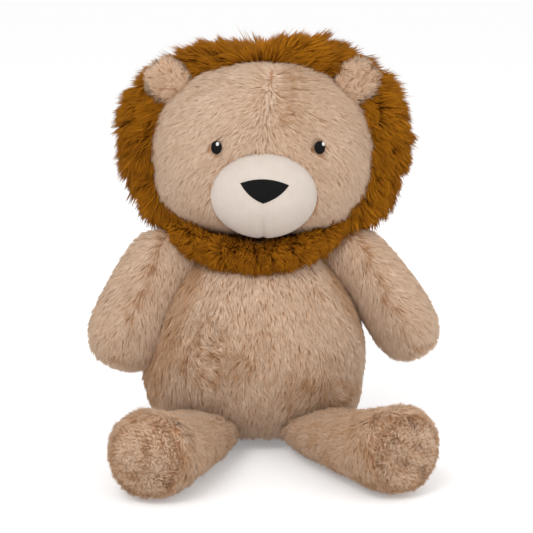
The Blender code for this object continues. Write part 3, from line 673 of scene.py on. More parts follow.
def pile_group():
    """Colour of a tuft: it goes from its root to its tip, and is paler or warmer by its own shade."""
    tree, given, result = group_of(
        "pile_colour",
        input={"Strand": VECTOR, "Root": COLOUR, "Dark": COLOUR, "Pale": COLOUR, "Root reach": NUMBER},
        output={"Color": COLOUR, "Roughness": NUMBER},
    )
    parts = tree.nodes.new("ShaderNodeSeparateXYZ")
    tree.links.new(given["Strand"], parts.inputs[0])
    body = mix_node(tree, parts.outputs["X"], given["Dark"], given["Pale"])
    rise = math_node(tree, "DIVIDE", parts.outputs["Y"], given["Root reach"])
    rise = math_node(tree, "MINIMUM", rise, 1.0)
    rise = math_node(tree, "POWER", rise, 0.8)
    rough = math_node(tree, "MULTIPLY_ADD", parts.outputs["Y"], -0.16, 0.92)
    feed(tree, result, (mix_node(tree, rise, given["Root"], body), rough))
    return tree


def weave_group():
    """Woven cloth on Object coordinates: two crossed rows of threads, and a slow change of colour."""
    tree, given, result = group_of(
        "weave",
        input={"Color": COLOUR, "Shadow": COLOUR, "Threads": NUMBER, "Depth": NUMBER},
        output={"Color": COLOUR, "Roughness": NUMBER, "Normal": VECTOR},
    )
    place = tree.nodes.new("ShaderNodeTexCoord")
    waves = []
    for direction in ("X", "Z"):
        wave = tree.nodes.new("ShaderNodeTexWave")
        wave.wave_type = "BANDS"
        wave.bands_direction = direction
        wave.inputs["Distortion"].default_value = 1.2
        wave.inputs["Detail"].default_value = 1
        tree.links.new(place.outputs["Object"], wave.inputs["Vector"])
        tree.links.new(given["Threads"], wave.inputs["Scale"])
        waves.append(wave.outputs["Fac"])
    threads = math_node(tree, "MULTIPLY_ADD", waves[0], 0.65, math_node(tree, "MULTIPLY", waves[1], 0.35))
    patch = tree.nodes.new("ShaderNodeTexNoise")
    patch.inputs["Scale"].default_value = 130
    patch.inputs["Detail"].default_value = 4
    tree.links.new(place.outputs["Object"], patch.inputs["Vector"])
    slow = math_node(tree, "MULTIPLY", threads, 0.45)
    slow = math_node(tree, "MULTIPLY_ADD", patch.outputs["Fac"], 0.5, slow)
    colour = mix_node(tree, slow, given["Shadow"], given["Color"])
    bump = tree.nodes.new("ShaderNodeBump")
    bump.inputs["Strength"].default_value = 0.5
    tree.links.new(given["Depth"], bump.inputs["Distance"])
    tree.links.new(threads, bump.inputs["Height"])
    rough = math_node(tree, "MULTIPLY_ADD", threads, -0.12, 0.95)
    feed(tree, result, (colour, rough, bump.outputs["Normal"]))
    return tree


def new_material(name, group, values, sheen, sheen_tint, specular):
    """A material whose shader is fed by a group, with what is the same all over set on the shader."""
    material = bpy.data.materials.new(name)
    material.use_nodes = True
    tree = material.node_tree
    shader = tree.nodes["Principled BSDF"]
    shader.inputs["Sheen Weight"].default_value = sheen
    shader.inputs["Sheen Roughness"].default_value = 0.5
    shader.inputs["Sheen Tint"].default_value = (*sheen_tint, 1)
    shader.inputs["Specular IOR Level"].default_value = specular
    node = tree.nodes.new("ShaderNodeGroup")
    node.node_tree = group
    for label, value in values.items():
        node.inputs[label].default_value = value
    for source in node.outputs:
        tree.links.new(source, shader.inputs["Base Color" if source.name == "Color" else source.name])
    return material, node


def pile_material(name, kind, reach, sheen):
    """Pile: the strand map gives each tuft's own shade across and its root to tip upward."""
    look = bpy.context.scene.plush_lion_colours
    root, dark, pale = (getattr(look, f"{kind}_{part}") for part in ("root", "dark", "pale"))
    values = {"Root": (*root, 1), "Dark": (*dark, 1), "Pale": (*pale, 1), "Root reach": reach}
    group = bpy.data.node_groups.get("pile_colour") or pile_group()
    material, node = new_material(name, group, values, sheen, pale, PILE_GLOSS)
    tree = material.node_tree
    strand = tree.nodes.new("ShaderNodeUVMap")
    strand.uv_map = "strand"
    tree.links.new(strand.outputs[0], node.inputs["Strand"])
    return material


def weave_material(name, kind, threads, depth, sheen, gloss):
    """Woven cloth or satin stitches, by the number of threads and their depth."""
    look = bpy.context.scene.plush_lion_colours
    colour, shadow = getattr(look, kind), getattr(look, f"{kind}_shadow")
    values = {"Color": (*colour, 1), "Shadow": (*shadow, 1), "Threads": threads, "Depth": depth}
    group = bpy.data.node_groups.get("weave") or weave_group()
    return new_material(name, group, values, sheen, (1, 1, 1), gloss)[0]


def shared_material(slot):
    """The finish of a slot, made when it is first asked for."""
    key = FINISHES[slot]
    if key in bpy.data.materials:
        return bpy.data.materials[key]
    if key in PILE_FINISHES:
        return pile_material(key, *PILE_FINISHES[key])
    return weave_material(key, *WEAVE_FINISHES[key])


# The add-on's settings


class LionPile(PropertyGroup):
    """Sizes of the pile."""

    tan_length: FloatProperty(
        name="Plush length", description="Length of the tan pile", default=0.0074, unit="LENGTH"
    )
    tan_width: FloatProperty(
        name="Plush tuft", description="Width of a tan tuft at its root", default=0.00066, unit="LENGTH"
    )
    tan_density: FloatProperty(
        name="Plush density", description="Tan tufts to a square millimetre", default=1.9
    )
    mane_length: FloatProperty(
        name="Mane length", description="Length of the mane's pile", default=0.0170, unit="LENGTH"
    )
    mane_width: FloatProperty(
        name="Mane tuft", description="Width of a mane tuft at its root", default=0.00095, unit="LENGTH"
    )
    mane_density: FloatProperty(
        name="Mane density", description="Mane tufts to a square millimetre", default=1.1
    )
    seed: IntProperty(name="Seed", description="Start of every random draw", default=7)


def colour_setting(name, what, value):
    """A colour that a user can change."""
    return FloatVectorProperty(
        name=name, description=what, default=value, subtype="COLOR", size=3, min=0, max=1
    )


class LionColours(PropertyGroup):
    """Colours of the pile, the cloth and the threads."""

    tan_root: colour_setting("Plush root", "Tan pile at its root", (0.40, 0.19, 0.09))
    tan_dark: colour_setting("Plush dark", "Tan pile where it is warm", (0.54, 0.285, 0.135))
    tan_pale: colour_setting("Plush pale", "Tan pile where it is pale", (0.92, 0.71, 0.54))
    mustard_root: colour_setting("Mane root", "Mane at its root", (0.085, 0.024, 0.001))
    mustard_dark: colour_setting("Mane dark", "Mane where it is dark", (0.26, 0.084, 0.003))
    mustard_pale: colour_setting("Mane pale", "Mane where it is pale", (0.50, 0.19, 0.006))
    cream: colour_setting("Muzzle", "Cloth of the muzzle", (0.69, 0.61, 0.54))
    cream_shadow: colour_setting("Muzzle shadow", "Between the muzzle's threads", (0.52, 0.44, 0.38))
    thread: colour_setting("Thread", "Thread of nose and eyes", (0.010, 0.009, 0.010))
    thread_shadow: colour_setting("Thread shadow", "Between those threads", (0.003, 0.003, 0.003))
    highlight: colour_setting("Highlight", "Pale thread in the eyes", (0.85, 0.85, 0.85))
    highlight_shadow: colour_setting("Highlight shadow", "Between pale threads", (0.6, 0.6, 0.6))


class LionStage(PropertyGroup):
    """Camera and lamps."""

    distance: FloatProperty(name="Distance", description="From camera to lion", default=1.3, unit="LENGTH")
    elevation: FloatProperty(
        name="Elevation", description="Camera above the horizon", default=math.radians(12), unit="ROTATION"
    )
    span: FloatProperty(
        name="Span", description="Width that the photograph takes in", default=0.38376, unit="LENGTH"
    )
    key_power: FloatProperty(
        name="Key light", description="Power of the main lamp", default=13.5, unit="POWER"
    )
    fill_power: FloatProperty(
        name="Fill light", description="Power of the other lamps", default=5.2, unit="POWER"
    )
    room_light: FloatProperty(name="Room light", description="Strength of the light all round", default=0.82)


# What every stuffed piece shares


def stuffed(name, skin, slot, body, nodes, shade=0.35, root=True):
    """A stuffed skin that rides on one body and stands for its CAD nodes."""
    piece = skin_piece(name, skin, slot, shade, root)
    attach(piece, body)
    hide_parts(*nodes)
    return piece


def pile_on(name, part, skin, comb, wanted, body=None, step=0, density=None, **more):
    """A part's pile on a skin, which rides on a body where one is given."""
    kind, draw, changes = PARTS[part]
    given = bpy.context.scene.plush_lion_pile
    sizes = {size: getattr(given, f"{kind}_{size}") for size in ("length", "width", "density")}
    pile = PILES[kind]._replace(**{**sizes, **changes})
    if density is not None:
        pile = pile._replace(density=density)
    slot = PILE_SLOTS[kind]
    piece = grow(name, slot, skin, pile, comb, wanted, given.seed + SEED_STEP * (draw + step), **more)
    if body:
        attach(piece, body)
    return piece


def sewn(name, part, skin, comb, wanted, step, bodies, start, end, nodes, shade=0.35, **more):
    """A stuffed form made of a skin and its pile, which stands for its CAD nodes."""
    padded = skin_piece(f"{name}_skin", skin, "tan_plush", shade)
    pile = pile_on(f"{name}_pile", part, skin, comb, wanted, step=step, **more)
    for piece in (padded, pile):
        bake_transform(piece)
    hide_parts(*nodes)


def everywhere(points, normals):
    """No bare place."""
    return np.ones(points.shape[:2])


def off_floor(normals):
    """Bare where a form rests on the floor."""
    return smooth_step(-0.97, -0.7, normals[..., 2])


# Pieces


def arm_line(side):
    """Where an arm starts and which way it hangs."""
    sign = SIDES[side]
    lean, ahead = math.radians(ARM_LEAN[side]), math.radians(ARM_FORWARD[side])
    along = unit(np.array((sign * math.sin(lean), -math.sin(ahead), -math.cos(lean))))
    return np.array(SHOULDER) * (sign, 1, 1), along


def comb_body(points, normals):
    """Down, with the places on the belly that were stroked another way turned about their middles."""
    ways = along_skin(np.tile(-UP + 0.12 * FORWARD, (len(points), 1)), normals)
    for centre, radius, degrees in BELLY_STROKES:
        near = bell(length_of(points - np.array(centre)) / radius)
        ways = turned(ways, normals, np.radians(degrees) * near)
    return ways


def body_ruffle(points):
    """Rough pile round each stroke's edge, broken up by fine noise, and a few spots low on the body."""
    rough = np.zeros(len(points))
    for centre, radius, _ in BELLY_STROKES:
        far = length_of((points - centre) * (1, 0.4, 1.25)) / radius
        rim = bell((far + 0.25 * drift(points, 0.016, 71) - 0.8) / 0.22)
        rough = np.maximum(rough, (0.35 + 0.65 * rim) * smooth_step(1.5, 1.0, far))
    rough *= patches(-0.7, 0.6, points, 0.0050, 72)
    warm = 0.35 * patches(0.3, 1.6, points, 0.020, 78) * smooth_step(0.10, 0.06, points[:, 2])
    return np.maximum(rough, warm * patches(0.0, 0.9, points, 0.0045, 79))


def body_tone(points):
    """Painted shade: darker beside each arm, where the arm's contact shadow falls on the body, and behind the
    arms round to the back.
    """
    near = np.zeros(len(points))
    for side, full in ARM_FULLNESS.items():
        shoulder, along = arm_line(side)
        off = points - shoulder
        reach = np.clip((off * along).sum(-1, keepdims=True), 0, ARM_SIZE[2])
        away = length_of((off - reach * along) * (1, 0.3, 1))
        edge = ARM_SIZE[1] / 2 * (2 * full - 1)
        near = np.maximum(near, smooth_step(edge + 0.010, edge, away))
    # Painted shade, not a colour of the pile: the level falls toward the dark colour near the arms
    return -0.5 * near


class LION_OT_body(Operator):
    """Adds the body's skin and its tan pile"""

    bl_idname = "plush_lion.body"
    bl_label = "Body"

    def execute(self, context):
        skin = skin_of(BODY_SIZE, BODY_RINGS, moved((0, 0, 0)), -BELLY_FORWARD, SUNK["body"])
        centre, reach, depth = ARM_HOLLOW
        hollow = depth * bell(length_of((skin.points - centre) * (1, 0.6, 1)) / reach)
        skin = refined(skin.points - skin.normals * hollow[..., None])
        stuffed("body_skin", skin, "tan_plush", "torso", ("body_cover", "body_stuffing", "pellet_bag"))
        for step, (half, edge) in enumerate({"front": 0.004, "back": -0.004}.items()):

            def wanted(p, n, edge=edge):
                under_head = smooth_step(0.147, 0.139, p[..., 2])
                return smooth_step(edge, -edge, p[..., 1]) * under_head * smooth_step(-0.95, -0.6, n[..., 2])

            pile_on(
                f"body_pile_{half}", "body", skin, comb_body, wanted, "torso", step,
                density=BODY_DENSITY[half], tone=body_tone, floor=0.006, ruffle=body_ruffle,
            )
        return {"FINISHED"}


def comb_face(points, normals):
    """Away from a whorl high on the forehead and from the seam under it, and down beside the muzzle."""
    aside, above = beside_seam(points)
    crown = smooth_step(0.048, 0.066, above) * bell(aside / 0.012)
    out = aside / np.hypot(aside, 0.0035 + 0.024 * smooth_step(0.052, 0.024, above))
    fall = 0.30 + 0.75 * smooth_step(0.030, -0.030, above) + 0.3 * smooth_step(0.0, 0.05, np.abs(aside))
    ways = np.stack((out, 0.1 + 0 * out, 2.2 * crown - fall), -1)
    return ways @ HEAD_TURN.T


def face_ruffle(points):
    """Loose locks on the forehead beside its seam."""
    aside, above = beside_seam(points)
    locks = bell((aside - 0.013) / 0.012) * smooth_step(0.006, 0.022, above)
    return 0.8 * (locks * smooth_step(0.064, 0.050, above)) * patches(-0.4, 0.8, points, 0.0055, 73)


def face_tone(points):
    """Pale along the forehead's seam with a darker line on both sides, and darker to the left of it."""
    aside, above = beside_seam(points)
    seam = 0.5 * bell(aside / 0.0018) - 0.18 * bell((np.abs(aside) - 0.0048) / 0.0024)
    side = 0.10 * smooth_step(0.0, 0.02, aside) * smooth_step(-0.01, 0.03, above)
    return 0.05 - side + seam * smooth_step(0.014, 0.046, above)


def face_shown(points, normals):
    """The part of the head before the mane's seam, without what muzzle and eyes cover."""
    own = from_head(points)
    aside, above = own[..., 0], own[..., 2]
    before = smooth_step(0.000, -0.010, own[..., 1] + MANE_SEAM)
    muzzle = np.hypot(
        (aside - MUZZLE_ASIDE) / (MUZZLE_SIZE[0] / 2), (above + MUZZLE_DROP) / (MUZZLE_SIZE[1] / 2)
    )
    bare = smooth_step(0.93, 1.0, muzzle)
    for sign in SIDES.values():
        middle = EYE_ASIDE + sign * EYE_APART / 2
        eye = np.hypot((aside - middle + 0.0018 * sign) / 0.0056, (above - EYE_ABOVE - 0.0012) / 0.0064)
        bare = bare * smooth_step(0.9, 1.05, eye)
    return before * bare


class LION_OT_head(Operator):
    """Adds the head's skin and the short pile of the face"""

    bl_idname = "plush_lion.head"
    bl_label = "Head"

    def execute(self, context):
        skin = skin_of(HEAD_SIZE, HEAD_RINGS, HEAD_PLACE, 0, SUNK["head"])
        stuffed("head_skin", skin, "tan_plush", "head", ("head_cover", "head_stuffing"), 0.5)
        pile_on("face_pile", "face", skin, comb_face, face_shown, "head", tone=face_tone, ruffle=face_ruffle)
        return {"FINISHED"}


def mane_skin():
    """The hood's form, flat where it meets the face's seam, and drawn in by the pile that hides it."""
    size = np.array(HEAD_SIZE) + MANE_GROWTH
    skin = skin_of(size, MANE_RINGS, HEAD_PLACE @ moved((0, 0, -MANE_DROP)), 0, SUNK["mane"], 90, 120)
    own = from_head(skin.points)
    rise = 0.0016 * drift(own, 0.05, 74)
    for centre, radius, height in MANE_LOBES:
        rise += height * bell(length_of((own - centre) * (1, 0.5, 1)) / radius)
    own += unit(own) * rise[..., None]
    own[..., 1] = np.maximum(own[..., 1], -MANE_SEAM + 0.003)
    return refined(own @ HEAD_TURN.T + HEAD_MIDDLE)


def comb_mane(points, normals):
    """Out from the face and down round it at the front, and back and down behind."""
    x, y, z = from_head(points).T
    back = smooth_step(-0.010, 0.055, y)
    out = unit(np.stack((x, 0 * x, z + 0.004), -1))
    half = x / np.hypot(x, 0.030)
    fall = np.stack((out[:, 2] * half, 0 * half, -np.abs(out[:, 0])), -1)
    ways = (0.7 * out + 0.9 * fall) * (1 - 0.75 * back)[:, None]
    ways[:, 1] += 0.15 + 0.7 * back
    ways[:, 2] -= 0.28 + 0.8 * back
    return ways @ HEAD_TURN.T


def mane_shown(zone, points):
    """A zone's share of the hood: half its rim, or its crown or nape. Under head and neck it is bare."""
    x, y, z = np.moveaxis(from_head(points), -1, 0)
    face = smooth_step(0.86, 0.94, np.hypot(x / (HEAD_SIZE[0] / 2), z / (HEAD_SIZE[2] / 2)))
    shown = np.where(y < -MANE_SEAM + 0.0035, face, 1) * smooth_step(-0.075, -0.060, z)
    if zone == "rim_left":
        return shown * (smooth_step(0.020, 0.012, y) * (x > 0))
    if zone == "rim_right":
        return shown * (smooth_step(0.020, 0.012, y) * (x <= 0))
    edge = -0.004 if zone == "crown" else 0.004
    return shown * (smooth_step(0.012, 0.020, y) * smooth_step(edge, -edge, z))


def collar_skin():
    """A tube of round section on an arc below the chin, which spreads and rises to its two closed ends."""
    way = 2 * np.linspace(0, 1, 60) - 1
    end = (way**2)[:, None]
    bearing = np.radians(-90 + 80 * way)[:, None]
    thick = COLLAR_THICK * np.sqrt(np.clip(1 - way**10, 0, 1))[:, None]
    angle = circle(20)[None]
    reach = COLLAR_REACH + COLLAR_SPREAD * end + thick * np.cos(angle)
    height = COLLAR_HEIGHT + COLLAR_RISE * end + thick * np.sin(angle)
    points = np.stack((reach * np.cos(bearing), COLLAR_FLAT * reach * np.sin(bearing), height), -1)
    return refined(points[::-1])


def collar_shown(points, normals):
    """Thinner on the collar's top, so that the chin shows over it."""
    return 0.6 + 0.4 * smooth_step(0.8, 0.4, normals[..., 2])


def collar_ruffle(points):
    """Tousled dark places along the collar."""
    return 0.45 * patches(0.1, 1.0, points, 0.006, 90)


def comb_collar(points, normals):
    """Down and out from the neck, and aside toward the ends."""
    out = unit(points * (1, 1, 0))
    return out * 0.30 - UP + ASIDE * (6 * points[:, :1])


class LION_OT_mane(Operator):
    """Adds the mane's hood and collar with their long pile"""

    bl_idname = "plush_lion.mane"
    bl_label = "Mane"

    def execute(self, context):
        skin = mane_skin()
        stuffed("mane_skin", skin, "mustard_pile", "head", ("mane",), 0.3)
        for step, zone in enumerate(("rim_left", "rim_right", "crown", "nape")):
            density = RIM_DENSITY if zone.startswith("rim") else HOOD_DENSITY
            pile_on(
                f"mane_pile_{zone}", "mane", skin, comb_mane,
                lambda p, n, zone=zone: mane_shown(zone, p), "head", step,
                density=context.scene.plush_lion_pile.mane_density * density, rings=2,
            )
        collar = collar_skin()
        stuffed("collar_skin", collar, "mustard_pile", "head", ("mane_collar",), 0.3)
        pile_on(
            "collar_pile", "collar", collar, comb_collar, collar_shown, "head", rings=2, ruffle=collar_ruffle
        )
        return {"FINISHED"}


class LION_OT_muzzle(Operator):
    """Adds the muzzle's domed cloth with its dart"""

    bl_idname = "plush_lion.muzzle"
    bl_label = "Muzzle"

    def execute(self, context):
        skin = skin_of(MUZZLE_SIZE, MUZZLE_RINGS, looking_out(MUZZLE_ASIDE, -MUZZLE_DROP), 0, 0, 90, 120)
        own = from_head(skin.points)
        lower = smooth_step(-0.042, -0.056, own[..., 2])
        dart = 0.0016 * bell((own[..., 0] - 0.0005) / 0.0012) * lower
        skin = refined(skin.points - skin.normals * dart[..., None])
        stuffed("muzzle", skin, "cream_cloth", "head", ("muzzle_cover", "muzzle_padding"), root=False)
        return {"FINISHED"}


def muzzle_height(aside, above):
    """How far the muzzle's surface lies from its middle plane at a point, read from its ring curve."""
    height, width = ring_curve(MUZZLE_RINGS, 200)[:, :2].T
    start = int(np.argmax(width))
    reach = np.hypot(aside / (MUZZLE_SIZE[0] / 2), above / (MUZZLE_SIZE[1] / 2))
    return np.interp(reach, width[start:][::-1], height[start:][::-1]) * MUZZLE_SIZE[2]


def stitched(name, outline, lift, height_at, place, node, slot, rows):
    """A stitched patch: from the middle of its back out to its edge and in again over its front.

    A row's points are the outline times a share, and its height is the bed's height plus the lift.
    """
    half = rows // 2
    out = np.sin(np.linspace(0, math.pi / 2, half))
    share = np.concatenate((out, out[::-1]))[:, None]
    rise = np.concatenate((np.full(half, PATCH_BACK), lift * (1 - out[::-1] ** 6) ** 0.5))[:, None]
    aside, above = share * outline[:, 0], share * outline[:, 1]
    points = np.stack((aside, above, height_at(aside, above) + rise), -1)
    piece = skin_piece(name, refined(placed(place, points)), slot, root=False)
    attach(piece, "head")
    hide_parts(node)


def nose_outline(columns=96):
    """Three corners with the sides between them bowed out: each side is a parabola."""
    corners = np.array(NOSE_CORNERS)
    t = np.linspace(0, 1, columns // 3, endpoint=False)[:, None]
    sides = zip(corners, np.roll(corners, -1, 0), np.array(NOSE_BOWS))
    return np.vstack([start * (1 - t) + end * t + 4 * bow * t * (1 - t) for start, end, bow in sides])


class LION_OT_nose(Operator):
    """Adds the nose as a satin stitched patch on the muzzle"""

    bl_idname = "plush_lion.nose"
    bl_label = "Nose"

    def execute(self, context):
        place = looking_out(MUZZLE_ASIDE, -MUZZLE_DROP)
        stitched("nose_patch", nose_outline(), 0.0013, muzzle_height, place, "nose", "dark_thread", 40)
        return {"FINISHED"}


def oval(size, columns=48):
    """An ellipse."""
    angle = circle(columns)
    return np.stack((np.cos(angle) * size[0] / 2, np.sin(angle) * size[1] / 2), -1)


def flat(aside, above):
    """A bed without height."""
    return 0 * aside


def eye_bed(aside, above):
    """The place on the face's surface before a point, with Z out of the face along the surface's normal."""
    skin = skin_of(HEAD_SIZE, HEAD_RINGS, HEAD_PLACE)
    own = from_head(skin.points)
    off = np.hypot(own[..., 0] - aside, own[..., 2] - above) + 10 * (own[..., 1] > 0)
    best = np.unravel_index(off.argmin(), off.shape)
    point = HEAD_MIDDLE + HEAD_TURN @ np.array((aside, own[best][1], above))
    return frame_at(point, skin.normals[best], HEAD_TURN @ UP)


class LION_OT_eyes(Operator):
    """Adds the stitched eyes and their highlights"""

    bl_idname = "plush_lion.eyes"
    bl_label = "Eyes"

    def execute(self, context):
        for side, sign in SIDES.items():
            bed = eye_bed(EYE_ASIDE + sign * EYE_APART / 2, EYE_ABOVE)
            eye, light = f"eye_{side}", f"eye_highlight_{side}"
            stitched(f"eye_stitched_{side}", oval(EYE_SIZE), 0.0024, flat, bed, eye, "dark_thread", 24)
            spot = bed @ moved(GLINT_SPOT)
            stitched(f"eye_glint_{side}", oval(GLINT_SIZE), 0.0010, flat, spot, light, "pale_thread", 16)
        return {"FINISHED"}


def add_ear(side, step):
    """An ear on its seam between face and mane, with its pile combed out from its root."""
    bearing = math.radians(EAR_BEARING)
    out = HEAD_TURN @ np.array((SIDES[side] * math.cos(bearing), 0, math.sin(bearing)))
    forward = HEAD_TURN @ FORWARD
    base = HEAD_MIDDLE + forward * (MANE_SEAM + 0.0003 + EAR_SIZE[1] / 2)
    base = base + out * (EAR_REACH - EAR_SIZE[2])
    skin = skin_of(EAR_SIZE, EAR_RINGS, frame_at(base, out, forward), 0, SUNK["ear"], 40, 48)

    def comb(points, normals):
        return unit(points - base + out * 0.002) + 0.3 * out

    name = f"ear_{side}"
    bodies = "head", f"{name}_body"
    sewn(name, "ear", skin, comb, everywhere, step, bodies, base, base + out * 0.010, (name,), 0.4)


class LION_OT_ears(Operator):
    """Adds the ears"""

    bl_idname = "plush_lion.ears"
    bl_label = "Ears"

    def execute(self, context):
        for step, side in enumerate(SIDES):
            add_ear(side, step)
        return {"FINISHED"}


def add_arm(side, step):
    """An arm, combed down from the shoulder and parted along its front, with a rough end to the parting."""
    shoulder, along = arm_line(side)
    place = frame_at(shoulder, along, -SIDES[side] * ASIDE)
    full = ARM_FULLNESS[side]
    place[:3, 3] += place[:3, 1] * ((full - 1) * ARM_SIZE[1] / 2) + UP * ARM_RAISE[side]
    size = np.array(ARM_SIZE) * (1, full, ARM_SHARE[side])
    skin = skin_of(size, ARM_RINGS, place, ARM_BEND, SUNK["arm"])

    def comb(points, normals):
        own = within(place, points)
        off = own[:, 1] / 0.010
        part = off * bell(off) * smooth_step(0.02, -0.004, points[:, 1])
        ways = np.tile(along, (len(points), 1)) - 0.25 * FORWARD
        return ways + place[:3, 1] * (1.1 * part * smooth_step(0.095, 0.070, own[:, 2]))[:, None]

    def ruffle(points):
        _, off, down = within(place, points).T
        line = bell((off + 0.0015 * drift(points, 0.02, 75)) / 0.0015)
        line *= smooth_step(0.105, 0.060, down) * smooth_step(0.0, -0.006, points[:, 1])
        line *= patches(-1.2, 0.4, points, 0.007, 76)
        tip = bell((down - 0.104 + 0.002 * drift(points, 0.02, 80)) / 0.0016)
        tip *= bell(off / 0.012) * (points[:, 1] < -0.005)
        return np.maximum(line, 0.8 * tip)

    def wanted(points, normals):
        return smooth_step(0.006, 0.016, within(place, points)[..., 2])

    name = f"arm_{side}"
    nodes = f"arm_cover_{side}", f"arm_stuffing_{side}"
    start = shoulder + along * 0.004
    end = start + along * 0.026
    sewn(name, "arm", skin, comb, wanted, step, ("torso", name), start, end, nodes, ruffle=ruffle)


class LION_OT_arms(Operator):
    """Adds the arms"""

    bl_idname = "plush_lion.arms"
    bl_label = "Arms"

    def execute(self, context):
        for step, side in enumerate(SIDES):
            add_arm(side, step)
        return {"FINISHED"}


def add_leg(side, step):
    """A leg with its sole, each with a pile of its own up to the seam between them."""
    sign = SIDES[side]
    splay = math.radians(LEG_SPLAY[side])
    along = np.array((sign * math.sin(splay), -math.cos(splay), 0))
    root = np.array(HIP) * (sign, 1, 1)
    place = frame_at(root, along, UP)
    seam = SOLE_SHARE * LEG_SIZE[2]
    half = LEG_SIZE[1] / 2
    skin = skin_of(LEG_SIZE, LEG_RINGS, place, half, SUNK["leg"])
    skin = refined(np.concatenate((skin.points[..., :2], np.maximum(skin.points[..., 2:], 0.0012)), -1))

    def down(points):
        return within(place, points)[..., 2]

    def seam_line(points):
        return 0.8 * bell((down(points) - seam) / SEAM_WIDTH)

    def comb(points, normals):
        near = smooth_step(seam - 0.040, seam - 0.006, down(points))[:, None]
        return along * (1.15 * near - 0.8) + ASIDE * (0.5 * sign * near) - 0.75 * UP

    def comb_sole(points, normals):
        own = within(place, points)
        off = own[:, :2] - (0, half)
        far = np.hypot(off[:, 0], off[:, 1])[:, None] / half
        outward = np.stack((off[:, 0], off[:, 1], 0 * off[:, 0]), -1) / (far * half)
        around = np.stack((-outward[:, 1], outward[:, 0], outward[:, 2]), -1)
        way = np.stack([drift(own, 0.016, 61 + k) for k in range(3)], -1)
        swirl = outward * (1 - far**3) + around * (0.3 + far**3)
        return 1.6 * way * (1 - far**3) + swirl @ place[:3, :3].T

    def ruffle(points):
        rough = patches(-0.2, 0.9, points, 0.014, 81) * patches(-0.3, 0.6, points, 0.0024, 82)
        return np.maximum(0.65 * rough, seam_line(points))

    def sole_ruffle(points):
        own = within(place, points)
        far = np.hypot(own[:, 0], own[:, 1] - half) / half
        spots = drift(points, 0.0020, 77) + 0.4 * drift(points, 0.012, 83)
        return np.maximum(smooth_step(1.02, 0.88, far) * smooth_step(0.0, 0.8, spots), seam_line(points))

    def cover(points, normals):
        far = down(points)
        return smooth_step(0.010, 0.020, far) * (far < seam - 0.0003) * off_floor(normals)

    def sole(points, normals):
        return (down(points) > seam + 0.0003) * off_floor(normals)

    name = f"leg_{side}"
    nodes = f"leg_cover_{side}", f"leg_stuffing_{side}"
    start, end = root + along * 0.030, root + along * 0.062
    bodies = "torso", name
    sewn(name, "leg", skin, comb, cover, step, bodies, start, end, nodes, floor=0.005, ruffle=ruffle)
    pad = pile_on(
        f"sole_{side}_pile", "sole", skin, comb_sole, sole, name, step, floor=0.005, ruffle=sole_ruffle
    )
    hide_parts(f"foot_sole_{side}")


class LION_OT_legs(Operator):
    """Adds the legs and the panels of the soles"""

    bl_idname = "plush_lion.legs"
    bl_label = "Legs and soles"

    def execute(self, context):
        for step, side in enumerate(SIDES):
            add_leg(side, step)
        return {"FINISHED"}


def comb_back(points, normals):
    """Straight back."""
    return np.tile(-FORWARD, (len(points), 1))


class LION_OT_tail(Operator):
    """Adds the tail and its tuft"""

    bl_idname = "plush_lion.tail"
    bl_label = "Tail"

    def execute(self, context):
        low, high = (np.array(corner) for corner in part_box("tail"))
        tuft_low, tuft_high = (np.array(corner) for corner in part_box("tail_tuft"))
        middle = (low + high) / 2
        start = np.array((middle[0], low[1] - TAIL_ROOT_SINK, middle[2]))
        size = (high[0] - low[0], high[2] - low[2], high[1] - start[1])
        skin = skin_of(size, TAIL_RINGS, frame_at(start, -FORWARD, UP), 0, SUNK["tail"], 50, 32)
        bare = tuft_low[1] + 0.006

        def wanted(points, normals):
            return smooth_step(bare + 0.004, bare, points[..., 1])

        bodies = "torso", "tail_body"
        end = start + (0, 0.026, 0)
        sewn("tail", "tail", skin, comb_back, wanted, 0, bodies, start, end, ("tail",), floor=0.004)
        size = tuft_high - tuft_low
        place = frame_at(((tuft_low + tuft_high) / 2) * (1, 0, 1) + (0, tuft_low[1], 0), -FORWARD, UP)
        skin = skin_of((size[0], size[2], size[1] * 0.9), TAIL_RINGS, place, 0, SUNK["tuft"], 40, 32)
        stuffed("tuft_skin", skin, "mustard_pile", "tail_body", ("tail_tuft",), 0.3)
        pile_on("tuft_pile", "tuft", skin, comb_back, everywhere, "tail_body", rings=2, floor=0.006)
        return {"FINISHED"}


# Stage


def seen_plainly(tree):
    """One for what the camera, gloss or glass sees, and nought for other light."""
    path = tree.nodes.new("ShaderNodeLightPath")
    seen = math_node(tree, "MAXIMUM", path.outputs["Is Camera Ray"], path.outputs["Is Glossy Ray"])
    return math_node(tree, "MAXIMUM", seen, path.outputs["Is Transmission Ray"])


def add_floor(scene):
    """A pale floor that takes the lion's shadow, with white added where it is seen."""
    mesh = bpy.data.meshes.new("floor")
    signs = ((-1, -1), (1, -1), (1, 1), (-1, 1))
    mesh.from_pydata([(x * FLOOR_HALF, y * FLOOR_HALF, 0) for x, y in signs], [], [(0, 1, 2, 3)])
    floor = bpy.data.objects.new("floor", mesh)
    material = bpy.data.materials.new("pale_floor")
    material.use_nodes = True
    tree = material.node_tree
    shader = tree.nodes["Principled BSDF"]
    shader.inputs["Base Color"].default_value = (0.86, 0.86, 0.86, 1)
    shader.inputs["Roughness"].default_value = 0.9
    glow = tree.nodes.new("ShaderNodeEmission")
    tree.links.new(math_node(tree, "MULTIPLY", seen_plainly(tree), FLOOR_GLOW), glow.inputs["Strength"])
    both = tree.nodes.new("ShaderNodeAddShader")
    tree.links.new(shader.outputs[0], both.inputs[0])
    tree.links.new(glow.outputs[0], both.inputs[1])
    tree.links.new(both.outputs[0], tree.nodes["Material Output"].inputs[0])
    mesh.materials.append(material)
    scene.collection.objects.link(floor)


